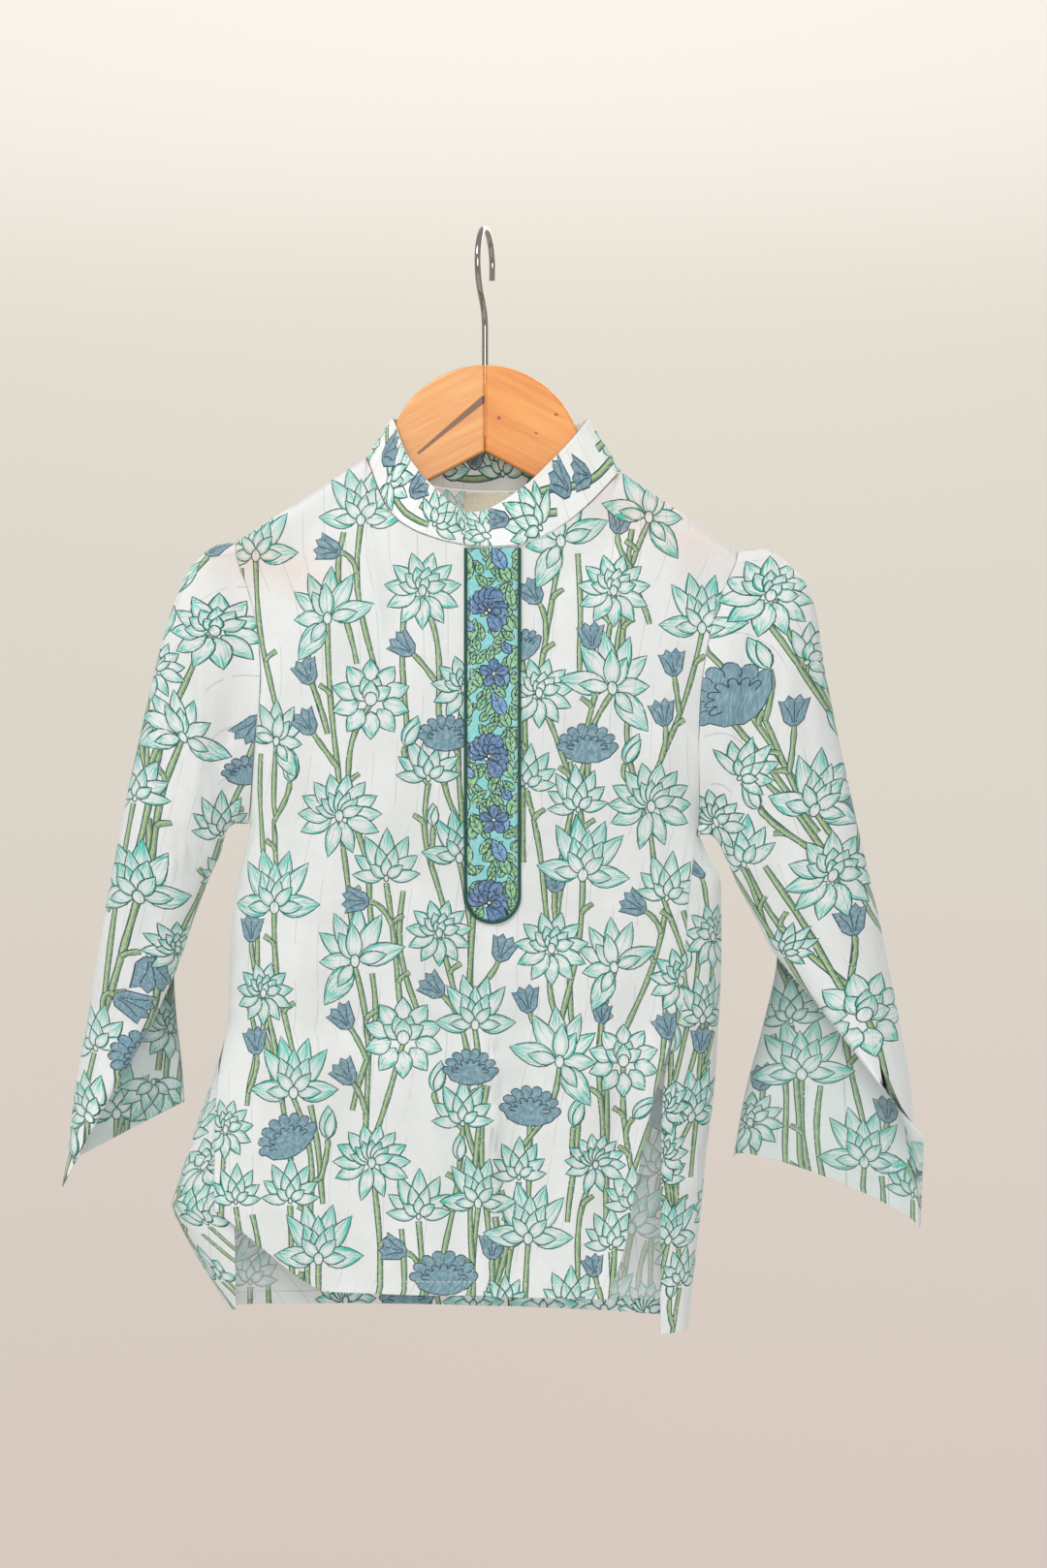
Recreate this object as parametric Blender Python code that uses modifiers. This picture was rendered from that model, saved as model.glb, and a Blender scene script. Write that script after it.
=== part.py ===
# A child's printed cotton kurta hanging on a two-piece wooden hanger with a steel hook.
# Tables are in millimetres. X runs to the viewer's right, Y away from the viewer, Z up.
# The origin is the inner top of the hook, where it sits on the rail.

import math

import bpy
import numpy as np
from mathutils import Vector

MM = 0.001

WALL = 1.2  # cloth, as a rigid stand-in
COLLAR_WALL = 1.8  # two layers of cloth and its lining
SEAM_GAP = 0.35
ARMPIT_GAP = 0.9  # more, where the sleeve leaves the body at a right angle
WOOD_THICK = 12.0
WIRE = 4.0
SWEEP = 0.052  # both halves of the hanger come forward by three degrees
CENTRE_X = 0.0

ARMHOLE_STEPS = 11
COLUMN_SPACING = 13.0
EDGE_TRIM = 0.0007
FIRST_ROW = 0.0175  # of the armhole's length, so that the cloth lies flat over the seam
SIDE_STEPS = 7
VENT_STEPS = 10
SLEEVE_STEPS = 20

# The body's girth at each height: the two silhouettes and how far the cloth stands off the middle.
RING_COLUMNS = ("z", "left", "right", "front", "back")
RINGS = [
    (-140, -163, 166, 34, 30),
    (-205, -163, 166, 34, 30),
    (-240, -160, 163, 34, 31),
    (-290, -160, 157, 35, 32),
    (-335, -157, 150, 37, 34),
    (-386, -152, 138, 38, 37),
    (-402, -155, 143, 38, 38),
    (-423, -160, 153, 38, 39),
    (-470, -165, 153, 39, 40),
    (-517, -167, 151, 40, 41),
    (-560, -180, 148, 41, 42),
    (-600, -193, 143, 42, 43),
    (-623, -200.5, 141, 43, 43),
    (-631, -203, 140, 43, 43),
    (-638, -200, 139.5, 43, 43),
    (-660, -188.5, 137, 43, 43),
    (-696, -168, 133, 43, 43),
    (-720, -160, 131, 43, 43),
]

# Where the two panels end on that girth: armholes, then side seams, then the vents.
EDGE_COLUMNS = ("z", "front_left", "front_right", "back_left", "back_right")
EDGES = [
    (-140, -161, 164, -161, 164),
    (-205, -161, 164, -161, 164),
    (-240, -150.5, 151, -151.5, 152),
    (-290, -144, 140, -147, 143),
    (-335, -148, 137.5, -149, 139),
    (-386, -152.5, 137, -152.5, 137),
    (-402, -155.5, 135, -155.5, 135),
    (-423, -160.5, 132, -160.5, 132),
    (-470, -165.5, 128.5, -165.5, 128.5),
    (-512, -167, 124, -167, 124),
    (-518, -167.3, 121, -168, 122.5),
    (-530, -168.8, 117.3, -171, 119),
    (-545, -171, 112.8, -172, 115.8),
    (-560, -172.5, 108.5, -168, 114.5),
    (-611, -173, 97.7, -162, 113.5),
    (-661, -173, 88.2, -160, 113),
    (-690, -173, 79.2, -160, 113),
    (-720, -173, 78, -159, 112.8),
]
RING_POWER = 2.5
ARMPIT = {"left": -384.0, "right": -391.0}
VENT_TOP = -512.0
VENT_LAP = 4.5  # below the vents' tops the front hangs in front of the back

# Top and bottom edges by X.
FRONT_TOP = [
    (-161, -201.6), (-77, -146.8), (-75, -151), (-71, -163.5), (-63, -181.5), (-54, -190.5),
    (-44, -196.3), (-30, -201.5), (-12.6, -205.3), (5, -206.6), (22, -205.5), (34, -201.3),
    (44, -196.2), (57, -187.5), (69.3, -176.4), (80, -165), (86, -158), (88.2, -156.2), (164, -207.9),
]
FRONT_NECK_DEPTH = [
    (-77, 0), (-75, 8.2), (-71, 11.5), (-63, 17), (-54, 21.5), (-44, 25), (-30, 27.5), (-12.6, 28.7),
    (5, 29), (22, 28.7), (34, 27.3), (44, 25), (57, 21), (69.3, 16), (80, 10.5), (86, 7.7), (88.2, 0),
]
BACK_TOP = [
    (-161, -201.6), (-77, -146.8), (-74.5, -148), (-68, -152.5), (-58, -157.8), (-45, -162),
    (-30, -165), (-12, -166.7), (5, -167.2), (22, -167), (40, -165.9), (55, -163.8),
    (70, -160.8), (80, -158.3), (86, -156.8), (88.2, -156.2), (164, -207.9),
]
BACK_NECK_DEPTH = [
    (-77, 0), (-74.5, 7.7), (-68, 11), (-58, 15), (-45, 19), (-30, 22), (-12, 24.3), (5, 25),
    (22, 24.4), (40, 22.2), (55, 19), (70, 14), (80, 9.8), (86, 7.7), (88.2, 0),
]
FRONT_HEM = [
    (-173, -631), (-150, -649), (-119.7, -674), (-104, -683),
    (-60, -685), (0, -686), (79, -688.6),
]
BACK_HEM_BY_SHARE = [(0.0, -697), (0.3, -700), (0.6, -703), (0.88, -706), (0.92, -711), (1.0, -712.5)]

SHOULDER_CREST = 8.6  # cloth over the edge of the hanger
CREST_DROP = 9.0
DRAPE_DROP = 110.0

# Soft folds as seen from the front: x0, z0, x1 and z1 of the line, half width, and height outwards.
FRONT_FOLDS = [
    (8, -474, 4, -700, 13, 5.0),
    (-17, -474, -8, -700, 12, -4.0),
    (-118, -330, -60, -420, 16, 2.5),
    (-135, -420, -110, -640, 18, 3.0),
    (-75, -480, -70, -700, 22, -3.0),
    (60, -470, 48, -700, 20, 3.0),
    (92, -300, 70, -460, 20, -2.5),
    (112, -430, 92, -640, 14, -3.0),
    (-40, -250, -60, -380, 20, 1.5),
]
BACK_FOLDS = [
    (5, -240, 0, -700, 16, -4.0),
    (-50, -300, -62, -700, 20, 4.5),
    (52, -290, 60, -700, 20, 4.5),
    (-100, -380, -118, -690, 18, -4.0),
    (98, -390, 92, -690, 18, -4.0),
    (-130, -250, -90, -400, 16, 2.5),
    (125, -255, 90, -400, 16, 2.5),
]

# Each sleeve at shares of its length: outer fold, front and back underarm edges, and how far
# the front and back of the tube stand off the line between them.
SLEEVE_COLUMNS = (
    "s", "outer_x", "outer_z", "front_x", "front_z", "back_x", "back_z",
    "outer_y", "front_y", "back_y", "front_out", "back_out", "bow",
)
SLEEVES = {
    "left": [
        (0.00, -163, -202, -152, -384, -152, -384, 0, 0, 0, 20, 18, 0),
        (0.08, -178, -206, -160, -384, -160, -384, 0, 0, 0, 21, 19, 0),
        (0.16, -192, -221, -167, -388, -167, -388, 0, 0, 0, 22, 20, 0),
        (0.26, -206, -257, -171, -402, -171, -402, 0, 0, 0, 23, 21, 0),
        (0.38, -219, -310, -178, -418, -178, -418, 0, -1, -1, 24, 21, 0),
        (0.52, -235, -384, -188, -444, -188, -444, 1, -2, -2, 24, 21, 0),
        (0.66, -250, -466, -201, -482, -201, -482, 2, -4, -4, 23, 20, 0),
        (0.78, -257, -512, -220, -524, -199.5, -512, 4, -17, 0, 17, 18, 0),
        (0.90, -266, -560, -246, -570, -197, -540, 7, -30, 8, 10, 13, 0),
        (1.00, -271, -604, -268.5, -615, -195.5, -565, 10, -44, 12, 5, 9, 0),
    ],
    "right": [
        (0.00, 166, -208, 138, -391, 138, -391, 0, 0, 0, 20, 18, 0),
        (0.08, 180, -206.5, 145, -391, 145, -391, 0, 0, 0, 21, 19, 0),
        (0.16, 194, -214, 151, -395.5, 151, -395.5, 0, 0, 0, 22, 20, 0),
        (0.26, 211, -236, 157, -408, 157, -408, 0, 0, 0, 23, 21, 0),
        (0.38, 221, -291, 165, -426, 165, -426, 0, -1, -1, 24, 21, 0),
        (0.52, 238, -372, 177, -448, 177, -448, 1, -2, -2, 24, 21, 0),
        (0.66, 254, -442, 189, -470, 189, -470, 2, -4, -4, 23, 20, 0),
        (0.78, 266, -500, 220, -508, 180, -516, 4, -18, 2, 17, 18, 3),
        (0.90, 277, -566, 251, -548, 169, -560, 6, -32, 10, 10, 14, 6),
        (1.00, 281.5, -646, 280, -584, 162, -601, 4, -44, 16, 5, 9, 9),
    ],
}
SLEEVE_FOLDS = {
    "left": [
        (-190, -240, -196, -370, 9, -4.0),
        (-176, -236, -178, -360, 9, 3.5),
        (-166, -250, -168, -372, 7, -3.0),
        (-214, -330, -232, -470, 12, 3.0),
        (-204, -400, -224, -480, 9, -2.5),
    ],
    "right": [
        (176, -235, 172, -345, 9, -3.5),
        (192, -240, 196, -350, 10, 3.5),
        (206, -300, 228, -430, 12, -2.5),
        (196, -400, 246, -500, 10, 2.5),
    ],
}

# The collar's top edge (x, y, z) above places on the neck's seam (its panel and x), from the end
# that lies under, round the back, to the end that laps over it.
COLLAR = [
    ("front", 20, 17, -27.5, -187),
    ("front", -12.6, -9.5, -29, -184.5),
    ("front", -44, -31, -28, -169),
    ("front", -63, -48, -22, -149),
    ("front", -75, -58.5, -9, -124),
    ("back", -77, -60.2, 1, -121),
    ("back", -68, -57, 9, -121.5),
    ("back", -45, -41, 18, -126),
    ("back", 5, 3, 24, -131),
    ("back", 55, 46, 18, -128),
    ("back", 80, 64, 9, -122.5),
    ("back", 88.2, 66.5, 0, -121.5),
    ("front", 80, 60, -14, -131),
    ("front", 57, 44, -25, -149),
    ("front", 34, 24, -30, -168),
    ("front", 8, 0, -32, -182.5),
    ("front", -12.6, -12.6, -32.5, -183.5),
]
COLLAR_SEAM = 0.9  # in from the panels' edges
LAP = {"under": 1.0, "over": -2.6}

PLACKET_LEFT = -11.0
PLACKET_RIGHT = 21.2
PLACKET_TOP = -206.6
PLACKET_BOTTOM = -446.0
PIPING_RADIUS = 0.9
LABEL = {"left": -14.0, "right": 25.0, "top": -168.2, "bottom": -183.5, "wall": 0.8}

# The hanger's outline for one half, measured out from its middle.
HEAD_RADIUS = 63.0
HEAD_TOP = -86.7
ARM_TOP = [(60, -129.5), (65, -138), (70, -147), (76.5, -155), (110, -177), (150, -203.5), (172, -217.5)]
ARM_TIP = [(180, -224), (182.5, -230), (181, -236), (176, -238.5)]
ARM_BOTTOM = [(166, -232.5), (120, -207), (60, -174), (20, -153), (0, -142.4)]
SOCKET_DEPTH = 14.0
HOOK_PATH = [
    (0, -99), (0, -80), (0, -64), (-2, -54), (-9, -45), (-17, -37), (-21.8, -28), (-23, -20),
    (-20.8, -11), (-15, -3.6), (-7.7, 0.8), (0, 2), (7.7, 0.8), (15, -3.6), (20.8, -11),
    (23, -20), (22.4, -29),
]
HOOK_TURN = 0.2

COLOURS = {
    "cotton_print": ((0.80, 0.87, 0.84), 0.9, 0.0),
    "placket_print": ((0.26, 0.50, 0.55), 0.9, 0.0),
    "piping_green": ((0.03, 0.20, 0.16), 0.85, 0.0),
    "label_cream": ((0.85, 0.80, 0.68), 0.9, 0.0),
    "wood_light": ((0.84, 0.50, 0.22), 0.4, 0.0),
    "wood_deep": ((0.78, 0.44, 0.18), 0.4, 0.0),
    "steel": ((0.75, 0.76, 0.78), 0.15, 1.0),
}


def clear_scene():
    for thing in list(bpy.data.objects):
        bpy.data.objects.remove(thing, do_unlink=True)


def material(name):
    colour, roughness, metallic = COLOURS[name]
    mat = bpy.data.materials.get(name) or bpy.data.materials.new(name)
    mat.use_nodes = True
    shader = mat.node_tree.nodes["Principled BSDF"]
    shader.inputs["Base Color"].default_value = (*colour, 1.0)
    shader.inputs["Roughness"].default_value = roughness
    shader.inputs["Metallic"].default_value = metallic
    return mat


def smooth_step(x):
    x = np.clip(x, 0.0, 1.0)
    return x * x * (3.0 - 2.0 * x)


def line_through(pairs, x):
    keys = np.array(pairs, float)
    return np.interp(x, keys[:, 0], keys[:, 1])


def curve_through(keys, values, x):
    """Cubic curve through the values at the keys, with its slopes taken from their neighbours."""
    keys = np.asarray(keys, float)
    values = np.asarray(values, float)
    if keys[0] > keys[-1]:
        keys, values = keys[::-1], values[::-1]
    x = np.clip(np.asarray(x, float), keys[0], keys[-1])
    step = np.diff(keys)
    rise = np.diff(values) / step
    slope = np.zeros(len(keys))
    slope[1:-1] = (rise[:-1] * step[1:] + rise[1:] * step[:-1]) / (step[:-1] + step[1:])
    slope[0], slope[-1] = rise[0], rise[-1]
    flat = np.concatenate([[False], rise[:-1] * rise[1:] <= 0, [False]])
    slope[flat] = 0.0
    i = np.clip(np.searchsorted(keys, x, side="right") - 1, 0, len(keys) - 2)
    h = step[i]
    t = (x - keys[i]) / h
    return (
        values[i] * (1 + 2 * t) * (1 - t) ** 2
        + slope[i] * h * t * (1 - t) ** 2
        + values[i + 1] * t * t * (3 - 2 * t)
        + slope[i + 1] * h * t * t * (t - 1)
    )


def column(table, columns, name, x):
    rows = np.array(table, float)
    return curve_through(rows[:, 0], rows[:, columns.index(name)], x)


def swept(points):
    """The hanger's halves come forward, and what hangs on them goes with them."""
    points = points.copy()
    points[..., 1] -= SWEEP * (np.sqrt(points[..., 0] ** 2 + 100.0) - 10.0)
    return points


def fold_height(folds, x, z):
    out = np.zeros(np.shape(x))
    for x0, z0, x1, z1, width, height in folds:
        along = ((x - x0) * (x1 - x0) + (z - z0) * (z1 - z0)) / ((x1 - x0) ** 2 + (z1 - z0) ** 2)
        near = np.clip(along, 0.0, 1.0)
        away = np.hypot(x - x0 - near * (x1 - x0), z - z0 - near * (z1 - z0))
        ends = 0.25 + 0.75 * np.sin(np.pi * np.clip(along, 0.0, 1.0)) ** 0.7
        out += height * np.exp(-((away / width) ** 2)) * ends
    return out


def bowed(x):
    """A sine or cosine made fuller, so that the girth is a rounded oblong."""
    return np.sign(x) * np.abs(x) ** (2 / RING_POWER)


def ring_angle(x):
    """The angle of the place at this share of the girth's half width."""
    return math.copysign(math.asin(min(abs(x), 1.0) ** (RING_POWER / 2)), x)


RING_GRID_Z = np.linspace(-720.0, -140.0, 146)
RING_GRID_SHARE = np.linspace(0.0, 1.0, 121)


def ring_grid(face):
    """X and Y of one panel's sections, spaced evenly along each section."""
    z = RING_GRID_Z
    left, right = (column(RINGS, RING_COLUMNS, n, z) for n in ("left", "right"))
    depths = {n: column(RINGS, RING_COLUMNS, n, z) for n in ("front", "back")}
    sewn = (z < ARMPIT["right"]) & (z > VENT_TOP)
    ends = []
    for n in ("left", "right"):
        own, joined = (column(EDGES, EDGE_COLUMNS, f"{f}_{n}", z) for f in (face, "front"))
        ends.append(np.where(sewn, joined, own))
    centre, half = (left + right) / 2, (right - left) / 2
    xs = np.zeros((len(z), len(RING_GRID_SHARE)))
    ys = np.zeros_like(xs)
    for i in range(len(z)):
        angles = [ring_angle((e[i] - centre[i]) / half[i]) for e in ends]
        if face == "back":
            above = [z[i] > ARMPIT["left"], z[i] > ARMPIT["right"]]
            start = -math.pi - angles[0] if above[0] else angles[0]
            stop = math.pi - angles[1] if above[1] else angles[1]
            turn = np.linspace(start, stop - 2 * math.pi, 721)
        else:
            turn = np.linspace(angles[0], angles[1], 721)
        x = centre[i] + half[i] * bowed(np.sin(turn))
        facing = bowed(np.cos(turn))
        y = np.where(facing > 0, -depths["front"][i] * facing, -depths["back"][i] * facing)
        run = np.concatenate([[0.0], np.cumsum(np.hypot(np.diff(x), np.diff(y)))])
        xs[i] = np.interp(RING_GRID_SHARE * run[-1], run, x)
        ys[i] = np.interp(RING_GRID_SHARE * run[-1], run, y)
    return xs, ys


def on_grid(grid, share, z):
    """Value of a grid of sections at a share across and a height."""
    a = np.clip(share, 0, 1) * (len(RING_GRID_SHARE) - 1)
    b = (np.clip(z, RING_GRID_Z[0], RING_GRID_Z[-1]) - RING_GRID_Z[0]) / (RING_GRID_Z[1] - RING_GRID_Z[0])
    i = np.clip(a.astype(int), 0, grid.shape[1] - 2)
    j = np.clip(b.astype(int), 0, grid.shape[0] - 2)
    a, b = a - i, b - j
    low = grid[j, i] * (1 - a) + grid[j, i + 1] * a
    high = grid[j + 1, i] * (1 - a) + grid[j + 1, i + 1] * a
    return low * (1 - b) + high * b


GRIDS = {face: ring_grid(face) for face in ("front", "back")}


def height_where(face, share, edge_height):
    """Height at which a column of the panel meets an edge given by X."""
    z = np.full(np.shape(share), -200.0 if edge_height(0.0) > -400 else -680.0)
    for _ in range(12):
        z = edge_height(on_grid(GRIDS[face][0], share, z))
    return z


def top_height(face, share):
    table = FRONT_TOP if face == "front" else BACK_TOP
    return height_where(face, share, lambda x: line_through(table, x))


def hem_height(face, share):
    if face == "back":
        return line_through(BACK_HEM_BY_SHARE, share)
    return height_where(face, share, lambda x: line_through(FRONT_HEM, x))


def armpit_height(share):
    return ARMPIT["left"] + (ARMPIT["right"] - ARMPIT["left"]) * share


def panel_at(face, share, v):
    """A point of a panel: v is 0 at its top edge, 1 at the armpits, 2 at the vents and 3 at the hem."""
    share, v = np.broadcast_arrays(np.asarray(share, float), np.asarray(v, float))
    top, middle, hem = top_height(face, share), armpit_height(share), hem_height(face, share)
    z = np.where(v < 1, top + (middle - top) * v, middle + (VENT_TOP - middle) * (v - 1))
    z = np.where(v > 2, VENT_TOP + (hem - VENT_TOP) * (v - 2), z)
    return panel_point(face, share, z, top)


def panel_point(face, share, z, top):
    x = on_grid(GRIDS[face][0], share, z)
    y = on_grid(GRIDS[face][1], share, z)
    out = -1.0 if face == "front" else 1.0
    neck = FRONT_NECK_DEPTH if face == "front" else BACK_NECK_DEPTH
    rise = line_through(neck, on_grid(GRIDS[face][0], share, top))
    below = top - z
    round_over = np.sqrt(1 - (1 - np.clip(below / CREST_DROP, 0, 1)) ** 2)
    crest = rise + np.maximum(SHOULDER_CREST - rise, 0) * round_over
    deep = out * y
    drape = smooth_step(below / DRAPE_DROP)
    deep = crest + (deep - crest) * drape
    folds = fold_height(FRONT_FOLDS if face == "front" else BACK_FOLDS, x, z)
    folds = folds * smooth_step(share / 0.07) * smooth_step((1 - share) / 0.07)
    deep = deep + folds * smooth_step(below / 40) * np.clip(deep / 20, 0, 1)
    if face == "front":
        deep = deep + VENT_LAP * smooth_step((VENT_TOP - z) / 30)
    return swept(np.stack([x, out * deep, z], axis=-1))


def share_at(face, x, z):
    """The share across a panel at which it has this X at this height."""
    low, high = np.zeros(np.shape(x)), np.ones(np.shape(x))
    for _ in range(24):
        middle = (low + high) / 2
        beyond = on_grid(GRIDS[face][0], middle, z) > x
        low, high = np.where(beyond, low, middle), np.where(beyond, middle, high)
    return (low + high) / 2


def front_at(x, z):
    """A point of the front panel above a place in the front view."""
    share = share_at("front", x, z)
    return panel_point("front", share, z, top_height("front", share))


def armhole_at(side, around):
    """The armhole's seam on the panels: around is 0 and 1 at the armpit and 0.5 at the shoulder."""
    fall = (1 + np.cos(2 * np.pi * around)) / 2
    share = np.full(np.shape(around), 0.0 if side == "left" else 1.0)
    front = panel_at("front", share, fall)
    back = panel_at("back", share, fall)
    seam = np.where((around <= 0.5)[..., None], front, back)
    gap = SEAM_GAP + ARMPIT_GAP * fall**2
    seam[..., 0] += -gap if side == "left" else gap
    return seam


def sleeve_tube(side, around, s):
    """A point of the sleeve's tube, before its head is drawn to the armhole."""
    at = {n: column(SLEEVES[side], SLEEVE_COLUMNS, n, s) for n in SLEEVE_COLUMNS[1:]}
    turn = 2 * np.pi * around
    outward = (1 - np.cos(turn)) / 2
    stand = np.abs(np.sin(turn))
    front = around <= 0.5
    x = np.where(front, at["front_x"], at["back_x"]) * (1 - outward) + at["outer_x"] * outward
    z = np.where(front, at["front_z"], at["back_z"]) * (1 - outward) + at["outer_z"] * outward
    z = z + np.where(front, 0, at["bow"]) * stand
    near = np.where(front, at["front_y"] - SEAM_GAP / 2, at["back_y"] + SEAM_GAP / 2)
    y = near * (1 - outward) + at["outer_y"] * outward
    y = y + stand * np.where(front, -at["front_out"], at["back_out"])
    return np.stack([x, y, z], axis=-1)


def sleeve_at(side, around, s):
    """A point of a sleeve: around as for the armhole, s from 0 at the armhole to 1 at the cuff."""
    around, s = np.broadcast_arrays(np.asarray(around, float), np.asarray(s, float))
    points = sleeve_tube(side, around, s)
    stand = np.abs(np.sin(2 * np.pi * around))
    folds = fold_height(SLEEVE_FOLDS[side], points[..., 0], points[..., 2]) * stand
    points[..., 1] += folds * np.where(around <= 0.5, -1.0, 1.0)
    points = swept(points)
    taken = smooth_step(s / 0.2)[..., None]
    start = swept(sleeve_tube(side, around, np.zeros(np.shape(around))))
    carried = points - start + armhole_at(side, around)
    return carried * (1 - taken) + points * taken


def neck_edge(face, x):
    """The panel's top edge at this X, before the sweep."""
    front = face == "front"
    depth = line_through(FRONT_NECK_DEPTH if front else BACK_NECK_DEPTH, x)
    z = line_through(FRONT_TOP if front else BACK_TOP, x)
    return np.stack([x, -depth if front else depth, z], axis=-1)


def neck_parts():
    """The X of the places along the neck's seam: the under end's side, the back, the over end's side."""
    front_x = np.array([x for x, _ in FRONT_NECK_DEPTH])
    back_x = np.array([x for x, _ in BACK_NECK_DEPTH])
    under = np.concatenate([[COLLAR[0][1]], front_x[front_x < COLLAR[0][1]][::-1]])
    over = front_x[front_x >= COLLAR[-1][1]][::-1]
    return [("front", under), ("back", back_x[1:]), ("front", over[1:])]


def neck_path():
    """The seam from the collar's under end to its over end, set in from the panels' edges."""
    pieces = []
    for n, (face, x) in enumerate(neck_parts()):
        piece = neck_edge(face, x)
        along = np.gradient(piece[:, [0, 2]], axis=0)
        upward = np.stack([-along[:, 1], along[:, 0]], axis=-1) * (1 if face == "back" else -1)
        piece[:, [0, 2]] += COLLAR_SEAM * upward / np.linalg.norm(upward, axis=1)[:, None]
        lap = smooth_step((26 - np.abs(x - 4)) / 9)
        if face == "front":
            piece[:, 1] += lap * LAP["under" if n == 0 else "over"]
        pieces.append(piece)
    path = np.concatenate(pieces)
    run = np.concatenate([[0.0], np.cumsum(np.linalg.norm(np.diff(path, axis=0), axis=1))])
    return path, run


def collar_keys():
    """How far along the seam each row of the collar's table lies."""
    keys = []
    parts = neck_parts()
    starts = np.cumsum([0] + [len(x) for _, x in parts])
    for n, (face, x, *_) in enumerate(COLLAR):
        part = 1 if face == "back" else (0 if n < len(COLLAR) / 2 else 2)
        stretch = slice(starts[part], starts[part + 1])
        xs, runs = parts[part][1], NECK_RUN[stretch]
        order = np.argsort(xs)
        keys.append(float(np.interp(x, xs[order], runs[order])))
    return np.array(keys)


NECK, NECK_RUN = neck_path()
COLLAR_KEYS = collar_keys()


def collar_at(run, up):
    """A point of the collar band: its distance along the seam, and up to the top edge."""
    run, up = np.broadcast_arrays(np.asarray(run, float), np.asarray(up, float))
    seam = np.stack([np.interp(run, NECK_RUN, NECK[:, i]) for i in range(3)], axis=-1)
    table = np.array([row[2:] for row in COLLAR], float)
    top = np.stack([curve_through(COLLAR_KEYS, table[:, i], run) for i in range(3)], axis=-1)
    return swept(seam * (1 - up[..., None]) + top * up[..., None])


def link(thing, collection):
    collection.objects.link(thing)
    return thing


def sheet_solid(name, points, wall, slot, collection):
    """A closed sheet of cloth on a grid of points in millimetres, with the wall centred on it."""
    rows, columns = points.shape[:2]
    vertices = [tuple(p * MM) for p in points.reshape(-1, 3)]
    faces = []
    for i in range(rows - 1):
        for j in range(columns - 1):
            a = i * columns + j
            faces.append((a, a + 1, a + columns + 1, a + columns))
    mesh = bpy.data.meshes.new(name)
    mesh.from_pydata(vertices, [], faces)
    mesh.polygons.foreach_set("use_smooth", [True] * len(mesh.polygons))
    mesh.materials.append(material(slot))
    thing = link(bpy.data.objects.new(name, mesh), collection)
    thick = thing.modifiers.new("wall", "SOLIDIFY")
    thick.thickness = wall * MM
    thick.offset = 0.0
    thick.use_even_offset = False
    return thing


def armhole_stations():
    """Places round the armhole from the armpit to the shoulder, with one close to the shoulder's seam."""
    even = np.arange(ARMHOLE_STEPS + 1) / (2 * ARMHOLE_STEPS)
    return np.concatenate([even[:-1], [0.5 - FIRST_ROW, 0.5]])


def row_stations():
    """Rows of a panel: the armhole's own down to the armpit, then even to the vents and to the hem."""
    upper = (1 + np.cos(2 * np.pi * armhole_stations())) / 2
    side = 1 + np.arange(1, SIDE_STEPS + 1) / SIDE_STEPS
    vent = 2 + np.arange(1, VENT_STEPS + 1) / VENT_STEPS
    return np.concatenate([upper[::-1], side, vent])


def column_stations(face):
    """Columns of a panel: the corners of its top edge, with more between them and at the sides."""
    top = FRONT_TOP if face == "front" else BACK_TOP
    x = [top[0][0]]
    for (x0, _), (x1, _) in zip(top, top[1:]):
        count = max(1, round(abs(x1 - x0) / COLUMN_SPACING))
        x.extend(np.linspace(x0, x1, count + 1)[1:])
    x = np.array(sorted(x + [x[0] + 5, x[-1] - 5]))
    shares = share_at(face, x, line_through(top, x))
    shares[0], shares[-1] = EDGE_TRIM, 1 - EDGE_TRIM
    return shares


def build_panel(face, collection):
    share, v = np.meshgrid(column_stations(face), row_stations())
    points = panel_at(face, share, v)
    shift = -SEAM_GAP / 2 if face == "front" else SEAM_GAP / 2
    points[..., 1] += shift
    return sheet_solid(f"{face}_panel", points, WALL, "cotton_print", collection)


def build_sleeve(side, collection):
    half = armhole_stations()
    around = np.concatenate([half, 1 - half[-2::-1]])
    s = np.arange(SLEEVE_STEPS + 1) / SLEEVE_STEPS
    around, s = np.meshgrid(around, s)
    return sheet_solid(f"sleeve_{side}", sleeve_at(side, around, s), WALL, "cotton_print", collection)


def build_collar(collection):
    run, up = np.meshgrid(NECK_RUN, np.linspace(0, 1, 4))
    return sheet_solid("collar_band", collar_at(run, up), COLLAR_WALL, "cotton_print", collection)


def placket_half_width(z):
    """Half the placket's width at a height, round at its lower end."""
    half = (PLACKET_RIGHT - PLACKET_LEFT) / 2
    above = np.clip((z - PLACKET_BOTTOM) / half, 0.0, 1.0)
    return half * np.sqrt(1 - (1 - above) ** 2)


def build_placket(collection):
    half = (PLACKET_RIGHT - PLACKET_LEFT) / 2
    middle = (PLACKET_RIGHT + PLACKET_LEFT) / 2
    curved = PLACKET_BOTTOM + half * (1 - np.cos(np.linspace(0.12, math.pi / 2, 8)))
    straight = np.linspace(PLACKET_BOTTOM + half, PLACKET_TOP, 22)[1:]
    z = np.concatenate([curved, straight])[::-1]
    across, z = np.meshgrid(np.linspace(-1, 1, 7), z)
    x = middle + across * placket_half_width(z)
    points = front_at(x, z)
    points[..., 1] -= WALL + SEAM_GAP * 1.5
    return sheet_solid("placket", points, WALL, "placket_print", collection)


def wire_solid(name, points, radius, slot, collection, resolution=2):
    """A round wire along points in millimetres, closed at both ends."""
    curve = bpy.data.curves.new(name, "CURVE")
    curve.dimensions = "3D"
    curve.bevel_depth = radius * MM
    curve.bevel_resolution = resolution
    curve.use_fill_caps = True
    spline = curve.splines.new("POLY")
    spline.points.add(len(points) - 1)
    for target, p in zip(spline.points, points):
        target.co = (p[0] * MM, p[1] * MM, p[2] * MM, 1.0)
        target.radius = 1.0
    curve.materials.append(material(slot))
    return link(bpy.data.objects.new(name, curve), collection)


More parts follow.
